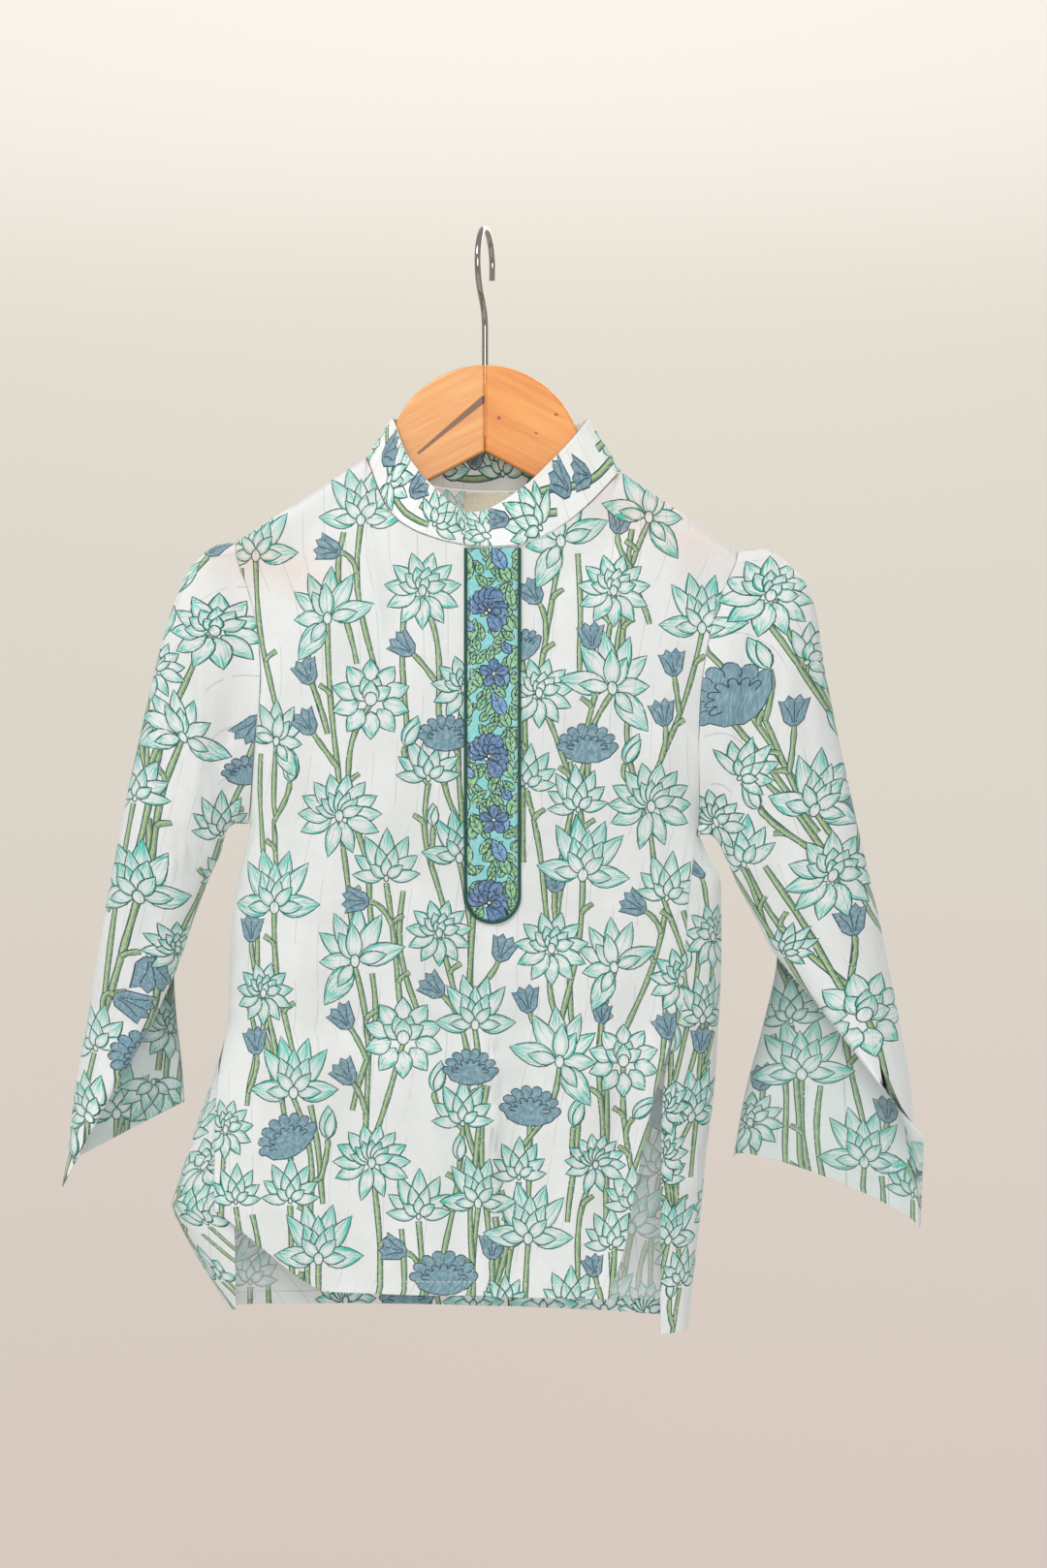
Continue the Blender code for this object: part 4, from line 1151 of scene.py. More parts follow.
def straightened(places, edges, fixed):
    """The edges again, without the points that only lie along a straight line."""
    links = {}
    for a, b in edges.tolist():
        links.setdefault(a, set()).add(b)
        links.setdefault(b, set()).add(a)
    for p in list(links):
        if p in fixed or len(links[p]) != 2:
            continue
        a, b = links[p]
        x, y = places[b][0] - places[a][0], places[b][1] - places[a][1]
        off = x * (places[p][1] - places[a][1]) - y * (places[p][0] - places[a][0])
        if b not in links[a] and abs(off) < STRAIGHT * math.hypot(x, y):
            for near, far in ((a, b), (b, a)):
                links[near].remove(p)
                links[near].add(far)
            del links[p]
    return np.array([(a, b) for a in links for b in links[a] if a < b])


def sides(triangles):
    """Every side of every triangle, in the triangle's own order."""
    return np.concatenate([triangles[:, [0, 1]], triangles[:, [1, 2]], triangles[:, [2, 0]]])


def parting_edges(places, triangles, keys):
    """Only the edges that part two different inks, and the tile's own rim."""
    pairs = np.sort(sides(triangles), axis=1)
    edges, where, counts = np.unique(pairs, axis=0, return_inverse=True, return_counts=True)
    low, high = np.full(len(edges), 1 << 30), np.full(len(edges), -(1 << 30))
    np.minimum.at(low, where.reshape(-1), np.tile(keys, 3))
    np.maximum.at(high, where.reshape(-1), np.tile(keys, 3))
    fixed = set(edges[counts == 1].ravel().tolist())
    return straightened(places.tolist(), edges[(low != high) | (counts == 1)], fixed)


def on_top(shapes, boxes, here, middles):
    """The index of the shape that lies on top at each place, or -1 for none."""
    tops = np.full(len(middles), -1)
    for i in here:
        near = np.nonzero(np.all((middles > boxes[i, :2]) & (middles < boxes[i, 2:]), axis=1))[0]
        tops[near[inside(shapes[i], middles[near])]] = i
    return tops


def triangulated(points, edges, faces):
    """Triangles over all the points that keep every edge and every face's outline."""
    made = geometry.delaunay_2d_cdt([Vector(p) for p in points], edges, faces, 0, SAME_PLACE, False)
    return np.array([v[:] for v in made[0]]), np.array(made[2])


def cut_tile(shapes, keys, boxes, x_lines, y_lines):
    """Triangles of one tile of the cloth, each with the index of the shape that lies on top."""
    x0, x1, y0, y1 = x_lines[0], x_lines[-1], y_lines[0], y_lines[-1]
    rim = [(x, y0) for x in x_lines[:-1]] + [(x1, y) for y in y_lines[:-1]]
    rim += [(x, y1) for x in x_lines[:0:-1]] + [(x0, y) for y in y_lines[:0:-1]]
    grid = [(x, y) for x in x_lines[1:-1] for y in y_lines[1:-1]]
    points, faces = list(rim), [list(range(len(rim)))]
    here = np.nonzero((boxes[:, 0] < x1) & (boxes[:, 2] > x0) & (boxes[:, 1] < y1) & (boxes[:, 3] > y0))[0]
    for i in here:
        faces.append(list(range(len(points), len(points) + len(shapes[i]))))
        points += [tuple(p) for p in shapes[i]]
    places, triangles = triangulated(points, [], faces)
    middles = places[triangles].mean(axis=1)
    kept = np.all((middles > (x0, y0)) & (middles < (x1, y1)), axis=1)
    triangles, middles = triangles[kept], middles[kept]
    edges = parting_edges(places, triangles, keys[on_top(shapes, boxes, here, middles)])
    used, edges = np.unique(edges, return_inverse=True)
    places, triangles = triangulated(places[used].tolist() + grid, edges.reshape(-1, 2).tolist(), [])
    return places, triangles, on_top(shapes, boxes, here, places[triangles].mean(axis=1))


STEP = 6.0  # between the grid's points on bare cloth
TILE = 60.0
MERGE = 500  # places are rounded to this many parts of a millimetre, where tiles meet


def cut_cloth(shapes, keys, size):
    """The whole cloth's points, triangles, and the shape on top of each triangle (-1 for bare cloth)."""
    boxes = np.array([[*s.min(axis=0), *s.max(axis=0)] for s in shapes]).reshape(-1, 4)
    lines = [np.linspace(0, length, max(2, round(length / STEP) + 1)) for length in size]
    counts = [max(1, round(length / TILE)) for length in size]
    marks = [np.linspace(0, len(line) - 1, n + 1).astype(int) for line, n in zip(lines, counts)]
    points, triangles, tops, total = [], [], [], 0
    for a, b in zip(marks[0], marks[0][1:]):
        for c, d in zip(marks[1], marks[1][1:]):
            made, faces, top = cut_tile(shapes, keys, boxes, lines[0][a:b + 1], lines[1][c:d + 1])
            points.append(made)
            triangles.append(faces + total)
            tops.append(top)
            total += len(made)
    points, triangles, tops = np.concatenate(points), np.concatenate(triangles), np.concatenate(tops)
    rounded = np.round(points * MERGE).astype(np.int64)
    _, first, back = np.unique(rounded, axis=0, return_index=True, return_inverse=True)
    triangles = back.reshape(-1)[triangles]
    whole = np.all(triangles != np.roll(triangles, 1, axis=1), axis=1)
    return points[first], triangles[whole], tops[whole]


def laid_on(sheet, shapes):
    """The shapes, with their outlines' places on the sheet."""
    cuts = np.cumsum([len(shape.outline) for shape in shapes])[:-1]
    places = sheet.from_flat(np.concatenate([shape.outline for shape in shapes]))
    for shape, place in zip(shapes, np.split(places, cuts)):
        shape.place = place
    return shapes


def ink_keys(shapes):
    """A number for each shape, the same where two would look the same; the last is bare cloth's."""
    inks = list(INKS)
    keys = [-1 - inks.index(shape.ink) if shape.own is None else i for i, shape in enumerate(shapes)]
    return np.array(keys + [-1 - len(inks)])


def own_places(shapes, domains, points, triangles, tops):
    """For each corner, where it lies across and along the petal whose ink it takes."""
    own = np.zeros((len(triangles), 3, 2))
    order = np.argsort(tops, kind="stable")
    starts = np.searchsorted(tops[order], np.arange(len(shapes) + 1))
    for i, shape in enumerate(shapes):
        rows = order[starts[i]:starts[i + 1]]
        if shape.own is None or not len(rows):
            continue
        known = np.column_stack([domains[i], np.ones(len(domains[i]))])
        fit = np.linalg.lstsq(known, shape.own, rcond=None)[0]
        corner = points[triangles[rows]]
        placed = corner @ fit[:2] + fit[2]
        along = np.clip(placed[..., 1], 0.001, 0.999)
        own[rows, :, 0] = np.clip(placed[..., 0] / np.maximum(petal_profile(along, False), 0.05), -1, 1)
        own[rows, :, 1] = along
    return own


def surface_normals(sheet, across, down):
    """Which way the surface faces, from its slope over a short way across and down."""
    e = 0.002
    a0, a1 = np.clip(across - e, 0, 1), np.clip(across + e, 0, 1)
    d0, d1 = np.clip(down - e, 0, sheet.rows), np.clip(down + e, 0, sheet.rows)
    run = sheet.surface(a1, down) - sheet.surface(a0, down)
    fall = sheet.surface(across, d1) - sheet.surface(across, d0)
    normal = np.cross(run, fall)
    return normal / (np.linalg.norm(normal, axis=-1, keepdims=True) + 1e-12)


def boundary_edges(triangles):
    """Edges that only one triangle has, in its own order."""
    edges = sides(triangles)
    _, index, counts = np.unique(np.sort(edges, axis=1), axis=0, return_index=True, return_counts=True)
    return edges[index[counts == 1]]


def warmth(points):
    """How far the wood shows warm through the cloth at each point."""
    out = np.zeros(len(points))
    for x, z, half_width, half_height in WARM_SPOTS:
        away = ((points[:, 0] - x) / half_width) ** 2 + ((points[:, 2] - z) / half_height) ** 2
        out = np.maximum(out, np.exp(-away))
    return out * (points[:, 1] < 5)


def placed(name, data):
    """A new object of the scene."""
    thing = bpy.data.objects.new(name, data)
    bpy.context.scene.collection.objects.link(thing)
    return thing


def laid_out(sheet, shapes):
    """The cut cloth on its surface: flat points, triangles, places, normals, inks and own places."""
    scale = np.array([sheet.size[0], sheet.size[1] / sheet.rows])
    domains = [shape.place * scale for shape in shapes]
    points, triangles, tops = cut_cloth(domains, ink_keys(shapes), sheet.size)
    across, down = (points / scale).T
    middle = sheet.surface(across, down)
    normal = surface_normals(sheet, across, down) * sheet.outward
    corners = middle[triangles]
    facing = np.cross(corners[:, 1] - corners[:, 0], corners[:, 2] - corners[:, 0])
    away = np.sum(facing * normal[triangles[:, 0]], axis=1) < 0
    triangles[away] = triangles[away][:, ::-1]
    own = own_places(shapes, domains, points, triangles, tops)
    ink = np.array([[*linear(INKS[s.ink][0]), INKS[s.ink][1]] for s in shapes] + [BARE_INK])
    return points, triangles, middle, normal, ink[tops], own


def paint(mesh, inks, own, rim_corners):
    """Each corner's ink, kind of ink and own place: right side, wrong side, then the rim."""
    inks = np.repeat(inks, 3, axis=0)
    inks = np.concatenate([inks, inks, np.tile(BARE_INK, (rim_corners, 1))])
    flipped = own[:, ::-1].reshape(-1, 2)
    own = np.concatenate([own.reshape(-1, 2), flipped, np.zeros((rim_corners, 2))])
    add_attribute(mesh, "own", "FLOAT_VECTOR", "CORNER", np.column_stack([own, inks[:, 3]]))
    inks[:, 3] = 1
    add_attribute(mesh, "ink", "FLOAT_COLOR", "CORNER", inks)


# From this share down, a panel's hem is turned up, so that its right side shows inside too.
HEM_TURN = 0.984


def cloth_object(name, sheet, shapes, thickness, wrong_side, mat):
    """A thin printed cloth on a surface: its right side, its wrong side and the rim between them."""
    points, triangles, middle, normal, inks, own = laid_out(sheet, shapes)
    count = len(points)
    edges = boundary_edges(triangles)
    rim = np.column_stack([edges[:, ::-1], edges + count])
    faces = triangles.tolist() + (triangles[:, ::-1] + count).tolist() + rim.tolist()
    places = np.concatenate([middle + normal * thickness / 2, middle - normal * thickness / 2]) * MM
    mesh = bpy.data.meshes.new(name)
    mesh.from_pydata(places.tolist(), [], faces)
    mesh.materials.append(mat)
    paint(mesh, inks, own, rim.size)
    turned_up = (points[:, 1] > HEM_TURN * sheet.size[1]) & (sheet.rows > 1)
    side = np.concatenate([np.zeros(count), np.where(turned_up, 0.0, wrong_side)])
    add_attribute(mesh, "flat", "FLOAT_VECTOR", "POINT", np.column_stack([np.tile(points, (2, 1)), side]))
    add_attribute(mesh, "warm", "FLOAT", "POINT", np.tile(warmth(middle), 2))
    lay_out_bake(mesh, points, sheet.size)
    mesh.validate(clean_customdata=False)
    mesh.polygons.foreach_set("use_smooth", [True] * len(mesh.polygons))
    mesh.normals_split_custom_set_from_vertices(np.concatenate([normal, -normal]).tolist())
    return placed(name, mesh)


def add_attribute(mesh, name, kind, domain, values):
    attribute = mesh.attributes.new(name, kind, domain)
    field = {"FLOAT": "value", "FLOAT_VECTOR": "vector", "FLOAT_COLOR": "color"}[kind]
    attribute.data.foreach_set(field, np.asarray(values, np.float32).ravel())


def lay_out_bake(mesh, points, size):
    """The map for baking: the right side in one half of the square, the wrong side in the other."""
    span = max(size[0] * 2.05, size[1] * 1.02)
    upright = points / span
    both = np.concatenate([upright, upright + (size[0] * 1.03 / span, 0)])
    loops = np.zeros(len(mesh.loops), np.int32)
    mesh.loops.foreach_get("vertex_index", loops)
    layer = mesh.uv_layers.new(name="OFBake")
    layer.data.foreach_set("uv", (both[loops] + 0.003).astype(np.float32).ravel())


class Nodes:
    """Short calls for building one material."""

    def __init__(self, name):
        self.material = bpy.data.materials.new(name)
        self.material.use_nodes = True
        self.tree = self.material.node_tree
        self.shader = self.tree.nodes["Principled BSDF"]

    def add(self, kind, inputs=(), **settings):
        node = self.tree.nodes.new(kind)
        for key, value in settings.items():
            setattr(node, key, value)
        for key, value in dict(inputs).items():
            self.give(node.inputs[key], value)
        return node

    def give(self, socket, value):
        if isinstance(value, bpy.types.NodeSocket):
            self.tree.links.new(value, socket)
        else:
            socket.default_value = value

    def math(self, operation, a, b=0.0, c=0.0):
        return self.add("ShaderNodeMath", {0: a, 1: b, 2: c}, operation=operation).outputs[0]

    def vector(self, operation, a, b=(0.0, 0.0, 0.0), output="Vector"):
        return self.add("ShaderNodeVectorMath", {0: a, 1: b}, operation=operation).outputs[output]

    def read(self, name, output):
        """One of the cloth's own attributes."""
        return self.add("ShaderNodeAttribute", attribute_name=name).outputs[output]

    def place(self):
        return self.add("ShaderNodeTexCoord").outputs["Object"]

    def parts(self, vector):
        return self.add("ShaderNodeSeparateXYZ", {0: vector}).outputs

    def noise(self, vector, scale, detail=2.0, rough=0.5):
        inputs = {"Vector": vector, "Scale": scale, "Detail": detail, "Roughness": rough}
        return self.add("ShaderNodeTexNoise", inputs).outputs["Fac"]

    def stretched(self, vector, by):
        return self.vector("MULTIPLY", vector, by)

    def steps(self, value, low, high, bottom=0.0, top=1.0):
        inputs = {0: value, 1: low, 2: high, 3: bottom, 4: top}
        return self.add("ShaderNodeMapRange", inputs, interpolation_type="SMOOTHSTEP").outputs[0]

    def mix(self, factor, a, b, blend="MIX"):
        node = self.add("ShaderNodeMix", data_type="RGBA", blend_type=blend)
        self.give(node.inputs[0], factor)
        self.give(node.inputs[6], a)
        self.give(node.inputs[7], b)
        return node.outputs[2]

    def bump(self, height, strength, distance):
        inputs = {"Height": height, "Strength": strength, "Distance": distance}
        node = self.add("ShaderNodeBump", inputs)
        self.give(self.shader.inputs["Normal"], node.outputs[0])

    def finish(self, colour, roughness, metallic=0.0):
        self.give(self.shader.inputs["Base Color"], colour)
        self.give(self.shader.inputs["Roughness"], roughness)
        self.give(self.shader.inputs["Metallic"], metallic)
        return self.material


def tone(colour):
    return (*linear(colour), 1.0)


THREAD_PITCH = 15.0
# CUFF_FADE also picks out the inside of the sleeves, where painted shade darkens the cloth.
CUFF_FADE = 0.1  # how faded the print is inside the sleeves


def bare_cotton(n, flat):
    """The bare cloth: blotches, thin grey threads down the grain, short bright slubs with painted sheen on
    them, and the weave.
    """
    blotch = n.noise(flat, 0.02, 3.0)
    bare = n.mix(n.steps(blotch, 0.35, 0.65), tone((0.885, 0.895, 0.88)), tone((0.925, 0.935, 0.925)))
    wander = n.noise(n.stretched(flat, (0.016, 0.004, 0)), 1.0, 0.0)
    pitches = n.math("DIVIDE", n.parts(flat)[0], THREAD_PITCH)
    column = n.math("FRACT", n.math("MULTIPLY_ADD", wander, 1.2, pitches))
    thread = n.math("LESS_THAN", n.math("ABSOLUTE", n.math("SUBTRACT", column, 0.5)), 0.018)
    broken = n.steps(n.noise(n.stretched(flat, (0.07, 0.03, 0)), 1.0), 0.44, 0.52)
    bare = n.mix(n.math("MULTIPLY", n.math("MULTIPLY", thread, broken), 0.4), bare, tone((0.6, 0.6, 0.6)))
    # Painted sheen: short bright dashes along the grain, where slub yarn catches the light.
    slub_sheen = n.noise(n.stretched(flat, (1.6, 0.05, 0)), 1.0, 2.0)
    bare = n.mix(n.steps(slub_sheen, 0.70, 0.76, 0.0, 0.7), bare, tone((0.97, 0.97, 0.965)))
    weave = n.noise(n.stretched(flat, (1.2, 0.25, 0)), 1.0, 3.0, 0.7)
    return n.mix(n.steps(weave, 0.3, 0.7, 0.12, 0.0), bare, tone((0.74, 0.74, 0.73))), weave


def ink_cover(n, flat, own):
    """How much ink there is at each place: streaky on a petal, broken in a line, else mottled."""
    petal_across, along, kind = n.parts(own)
    even = n.steps(n.noise(flat, 0.35, 3.0), 0.3, 0.65, 0.718, 0.951)
    moved = n.vector("ADD", n.stretched(own, (3.2, 1.1, 0)), n.stretched(flat, (0.05, 0.05, 0)))
    streaks = n.noise(moved, 1.7, 2.0)
    rim = n.steps(n.math("ABSOLUTE", petal_across), 0.45, 1.0, 0.0, 0.9)
    tip, heart = n.steps(along, 0.4, 0.95), n.steps(along, 0.35, 0.02, 0.0, 0.7)
    reach = n.math("MAXIMUM", n.math("MAXIMUM", rim, tip), heart)
    strong, faint = n.steps(streaks, 0.42, 0.55, 0.15, 1.0), n.steps(streaks, 0.54, 0.66, 0.0, 0.4)
    petal = n.math("MULTIPLY_ADD", reach, strong, faint)
    petal = n.add("ShaderNodeClamp", {0: petal, 1: 0.02, 2: 0.96}).outputs[0]
    line = n.steps(n.noise(n.stretched(flat, (0.55, 0.55, 0)), 1.0, 2.0), 0.30, 0.42, 0.45, 0.97)
    cover = 0.0
    for number, amount in ((PETAL, petal), (LINE, line), (EVEN, even)):
        cover = n.math("MULTIPLY_ADD", n.math("COMPARE", kind, number, 0.4), amount, cover)
    return cover


def printed_cotton():
    """Slub cotton under block-printed inks, read from the cloth's own attributes."""
    n = Nodes("printed_cotton")
    flat = n.read("flat", "Vector")
    wrong_side = n.parts(flat)[2]
    bare, weave = bare_cotton(n, flat)
    printed = n.math("SUBTRACT", 1.0, wrong_side)
    cover = n.math("MULTIPLY", ink_cover(n, flat, n.read("own", "Vector")), printed)
    colour = n.mix(cover, bare, n.read("ink", "Color"))
    warm = n.math("MULTIPLY", n.read("warm", "Fac"), 0.55)
    colour = n.mix(warm, colour, tone((1.0, 0.85, 0.80)), "MULTIPLY")
    # Painted shade: the inside of the sleeves, found by its fade value, is multiplied darker to stand in for
    # the shade inside the cuffs.
    painted_cuff_shade = n.math("COMPARE", wrong_side, CUFF_FADE, 0.02)
    colour = n.mix(painted_cuff_shade, colour, tone((0.86, 0.88, 0.88)), "MULTIPLY")
    n.bump(weave, 0.25, 0.0004)
    soft = {"Sheen Weight": 0.1, "Subsurface Weight": 0.8, "Subsurface Scale": 0.002}
    for key, value in {**soft, "Subsurface Radius": (1.0, 1.0, 1.0)}.items():
        n.give(n.shader.inputs[key], value)
    return n.finish(colour, 0.85)


def plain_cloth(name, colour, scale, depth):
    """An unprinted cloth or cord with a fine weave."""
    n = Nodes(name)
    weave = n.noise(n.place(), scale, 3.0, 0.7)
    shade = n.mix(n.steps(weave, 0.3, 0.7), tone(np.array(colour) * 0.92), tone(colour))
    n.bump(weave, 0.5, depth)
    return n.finish(shade, 0.85)


def near_line(n, place, start, end, width, feather):
    """1 on a straight mark from start to end, which narrows towards its end."""
    start, end = Vector(start) * MM, Vector(end) * MM
    along = end - start
    away = n.vector("SUBTRACT", place, start)
    run = n.vector("DOT_PRODUCT", away, along / along.length_squared, "Value")
    share = n.add("ShaderNodeClamp", {0: run}).outputs[0]
    on_line = n.add("ShaderNodeVectorMath", {0: along, "Scale": share}, operation="SCALE").outputs[0]
    distance = n.vector("LENGTH", n.vector("SUBTRACT", away, on_line), output="Value")
    wide = n.math("MULTIPLY_ADD", share, -0.7 * width * MM, width * MM)
    return n.steps(n.math("SUBTRACT", distance, wide), feather * MM, 0.0)


# The dark streak on the left arm and the knots on the right one: start, end, half width, edge.
WOOD_MARKS = {
    "left": [((-1, -109), (-43, -144), 2.0, 0.6)],
    "right": [
        ((x, z), (x + 1.2, z - 0.5), size, 0.4)
        for x, z, size in ((9, -121, 1.0), (46, -119, 0.8), (70, -152, 0.7), (33, -131, 0.5))
    ],
}
# Each arm's pale, deep and mark colours, how strong its marks are, and how its grain slopes.
WOOD_TONES = {
    "left": ((0.89, 0.64, 0.37), (0.83, 0.53, 0.26), (0.32, 0.18, 0.12), 0.85, 0.48),
    "right": ((0.89, 0.60, 0.29), (0.83, 0.50, 0.20), (0.40, 0.22, 0.12), 0.8, -0.48),
}


def maple(name, side):
    """Honey-coloured maple with fine grain along the arm, and the marks that show on it."""
    n = Nodes(name)
    pale, deep, dark, strength, slope = WOOD_TONES[side]
    place = n.place()
    turned_place = n.add("ShaderNodeMapping", {"Vector": place, "Rotation": (0, slope, 0)}).outputs[0]
    grain = n.noise(n.stretched(turned_place, (14, 60, 240)), 1.0, 4.0, 0.6)
    broad = n.noise(n.stretched(turned_place, (9, 20, 60)), 1.0, 2.0)
    colour = n.mix(n.steps(grain, 0.3, 0.7), tone(deep), tone(pale))
    colour = n.mix(n.steps(broad, 0.45, 0.75, 0.0, 0.35), colour, tone(deep))
    flattened = n.stretched(place, (1, 0, 1))
    for (x0, z0), (x1, z1), width, feather in WOOD_MARKS[side]:
        mark = near_line(n, flattened, (x0, 0, z0), (x1, 0, z1), width, feather)
        colour = n.mix(n.math("MULTIPLY", mark, strength), colour, tone(dark))
    n.bump(grain, 0.08, 0.0005)
    return n.finish(colour, 0.38)


def chrome():
    n = Nodes("bright_wire")
    wear = n.noise(n.place(), 300.0, 2.0)
    return n.finish(tone((0.62, 0.61, 0.60)), n.steps(wear, 0.3, 0.8, 0.07, 0.2), 1.0)


def wire_object(name, points, radius, mat, sides=5):
    """A round wire along points in millimetres."""
    curve = bpy.data.curves.new(name, "CURVE")
    curve.dimensions = "3D"
    curve.bevel_depth = radius * MM
    curve.bevel_resolution = sides
    curve.use_fill_caps = True
    spline = curve.splines.new("POLY")
    spline.points.add(len(points) - 1)
    for target, place in zip(spline.points, points * MM):
        target.co = (*place, 1.0)
    curve.materials.append(mat)
    return placed(name, curve)


def mesh_object(name, places, faces, mat):
    """A mesh from places in millimetres."""
    mesh = bpy.data.meshes.new(name)
    mesh.from_pydata((places * MM).tolist(), [], faces)
    mesh.materials.append(mat)
    return placed(name, mesh)


def tape_object(name, points, thickness, mat):
    """A plain sheet on a grid of points, given its thickness."""
    rows, columns = points.shape[:2]
    index = np.arange(rows * columns).reshape(rows, columns)
    quads = np.stack([index[:-1, :-1], index[:-1, 1:], index[1:, 1:], index[1:, :-1]], axis=-1)
    thing = mesh_object(name, points.reshape(-1, 3), quads.reshape(-1, 4).tolist(), mat)
    thing.data.polygons.foreach_set("use_smooth", [True] * len(thing.data.polygons))
    thick = thing.modifiers.new("thickness", "SOLIDIFY")
    thick.thickness = thickness * MM
    thick.offset = 0.0
    return thing


# Rows of stitches on each sheet, from (across, down) to (across, down).
STITCH_LENGTH = 2.3
STITCH_PITCH = 3.4
STITCH_HALF_WIDTH = 0.28
STITCH_HEIGHT = 0.3
PANEL_STITCHES = [(0.025, 2.95, 0.975, 2.95), (0.028, 2.06, 0.028, 2.95), (0.972, 2.06, 0.972, 2.95)]
BACK_STITCHES = [(0.025, 2.955, 0.975, 2.955), (0.026, 2.06, 0.026, 2.955), (0.974, 2.06, 0.974, 2.955)]
CUFF_STITCHES = [(0.025, 0.981, 0.975, 0.981), (0.025, 0.68, 0.025, 0.981), (0.975, 0.68, 0.975, 0.981)]
STITCH_ROWS = {
    "front": PANEL_STITCHES,
    "back": BACK_STITCHES,
    "left": CUFF_STITCHES,
    "right": CUFF_STITCHES,
    "collar": [(0.01, 0.93, 0.99, 0.93)],
    "placket": [(0.08, 0.01, 0.08, 0.9), (0.92, 0.01, 0.92, 0.9)],
}


def stitches(name, sheet, rows, lift, mat):
    """Every stitch as a small raised lozenge of thread."""
    places, faces = [], []
    for a0, d0, a1, d1 in rows:
        across, down = np.linspace(a0, a1, 400), np.linspace(d0, d1, 400)
        path = sheet.surface(across, down)
        normal = surface_normals(sheet, across, down) * sheet.outward
        run = run_along(path)
        for start in np.arange(1.0, run[-1] - STITCH_LENGTH, STITCH_PITCH):
            at = start + np.array([0.0, 0.5, 1.0]) * STITCH_LENGTH
            p = np.stack([np.interp(at, run, path[:, i]) for i in range(3)], axis=-1)
            up = np.array([np.interp(at[1], run, normal[:, i]) for i in range(3)])
            side = np.cross(p[2] - p[0], up)
            side *= STITCH_HALF_WIDTH / (np.linalg.norm(side) + 1e-9)
            base = len(places)
            p = p + up * lift
            places += [p[0], p[1] + side, p[2], p[1] - side, p[1] + up * STITCH_HEIGHT]
            faces += [(base + i, base + (i + 1) % 4, base + 4) for i in range(4)]
            faces.append((base + 3, base + 2, base + 1, base))
    return mesh_object(name, np.array(places), faces, mat)


# The placket's own print, one repeat of it, from its top: x, z, turn, length and width of each leaf.
PLACKET_REPEAT = 94.0
PLACKET_FIELD = [(-14, -190), (24, -190), (24, -460), (-14, -460)]  # a little beyond its edges
PLACKET_LEAVES = {
    "leaf": [
        (-9, -2, -15, 15, 7), (-2, 2, 30, 14, 7), (17, -8, -70, 16, 8), (-10, -18, 12, 17, 8),
        (1, -16, -38, 15, 7), (16, -24, 25, 14, 7), (-10, -46, 20, 14, 7), (18, -40, 10, 15, 7),
        (18, -56, 35, 16, 8), (6, -60, -15, 13, 6), (-9, -62, -12, 15, 7), (-11, -78, 15, 16, 7),
        (16, -80, -20, 15, 8), (4, -88, 55, 14, 7), (-6, -92, -30, 14, 7),
    ],
    "indigo_pale": [(13, -16, 28, 17, 9), (-6, -55, 62, 15, 7), (14, -91, 20, 16, 9), (17, -70, 40, 10, 6)],
}
# Fringed side-view flowers and round ones: x, z, reach, first and last turn, petals.
PLACKET_FLOWERS = [
    (3, -42, 15, -78, 28, 6), (1, -44, 15, 72, 140, 4), (3, -42, 8, -60, 100, 5), (6, -83, 10, 0, 288, 5),
]


def veined(length, width, turn, place, ink):
    """A leaf with a dark edge, a dark rib and dark veins."""
    outline = turned(petal_outline(length, width, False), turn) + place
    rib = turned(curved_path((0, 1), (0, length * 0.85), 0.5, 4), turn) + place
    shapes = outlined(outline, ink, "dark") + [Shape(ribbon(rib, 0.6), "dark")]
    for share in (0.35, 0.6):
        for side in (-1, 1):
            end = (side * width * 0.3, length * (share + 0.16))
            vein = curved_path((0, length * share), end, 0.1, 3)
            shapes.append(Shape(ribbon(turned(vein, turn) + place, 0.5), "dark"))
    return shapes


def fringed(place, reach, first, last, count):
    """A row of blunt indigo petals round a small bare heart."""
    shapes = []
    for turn in np.linspace(first, last, count):
        outline = turned(petal_outline(reach, reach * 0.62, True), -turn) + place
        vein = turned(curved_path((0, 2), (0, reach * 0.75), 0.3, 4), -turn)
        shapes += outlined(outline, "indigo", "dark") + [Shape(ribbon(vein, 0.5) + place, "dark")]
    return shapes + outlined(oval_outline(2.6, 2.6, 8) + place, "bare", "dark")


def placket_shapes():
    """The placket's print: a green sea with leaves all over it and fringed indigo flowers."""
    shapes = [Shape(np.array(PLACKET_FIELD, float), "sea")]
    random = np.random.default_rng(11)
    for z in np.arange(-200, -452, -7.5):
        for x in (-11, -3.5, 4, 11.5, 19):
            place = (x + random.uniform(-2.5, 2.5), z + random.uniform(-2.5, 2.5))
            shapes += veined(random.uniform(9, 13), 5.5, random.uniform(-75, 75), place, "leaf")
    for repeat in range(4):
        drop = np.array([0.0, PLACKET_TOP + 2 - repeat * PLACKET_REPEAT])
        for ink, leaves in PLACKET_LEAVES.items():
            for x, z, turn, length, width in leaves:
                shapes += veined(length, width, turn, (x, z) + drop, ink)
        for x, z, *petals in PLACKET_FLOWERS:
            shapes += fringed((x, z) + drop, *petals)
    return shapes


# The collar's print: kind, distance along the seam, distance up, size, turn.
COLLAR_CHART = {
    "droop": [(100, 9, 0.7, 30), (262, 10, 0.8, 0)],
    "cup": [(56, 8, 0.85, 25), (394, 4, 0.9, -40), (234, 8, 0.8, 0)],
    "side": [(34, 10, 0.65, 60), (430, 8, 0.8, -70), (190, 8, 0.75, 0)],
    "tulip": [
        (116, 10, 1, 40), (80, 14, 0.8, 30), (366, 9, 1, -30), (346, 8, 0.9, -60), (412, 15, 0.8, -70),
        (160, 9, 0.9, 20), (214, 10, 0.9, -10), (284, 8, 0.9, 10),
    ],
    "star": [(142, 8, 0.75, 0), (310, 8, 0.75, 0)],
}
# Each stem's start and end along the band, and how far it sways.
COLLAR_STEMS = [
    (10, 70, 4), (60, 132, -4), (126, 204, 4), (196, 268, -4), (256, 330, 3), (322, 392, -3), (380, 450, 3),
]


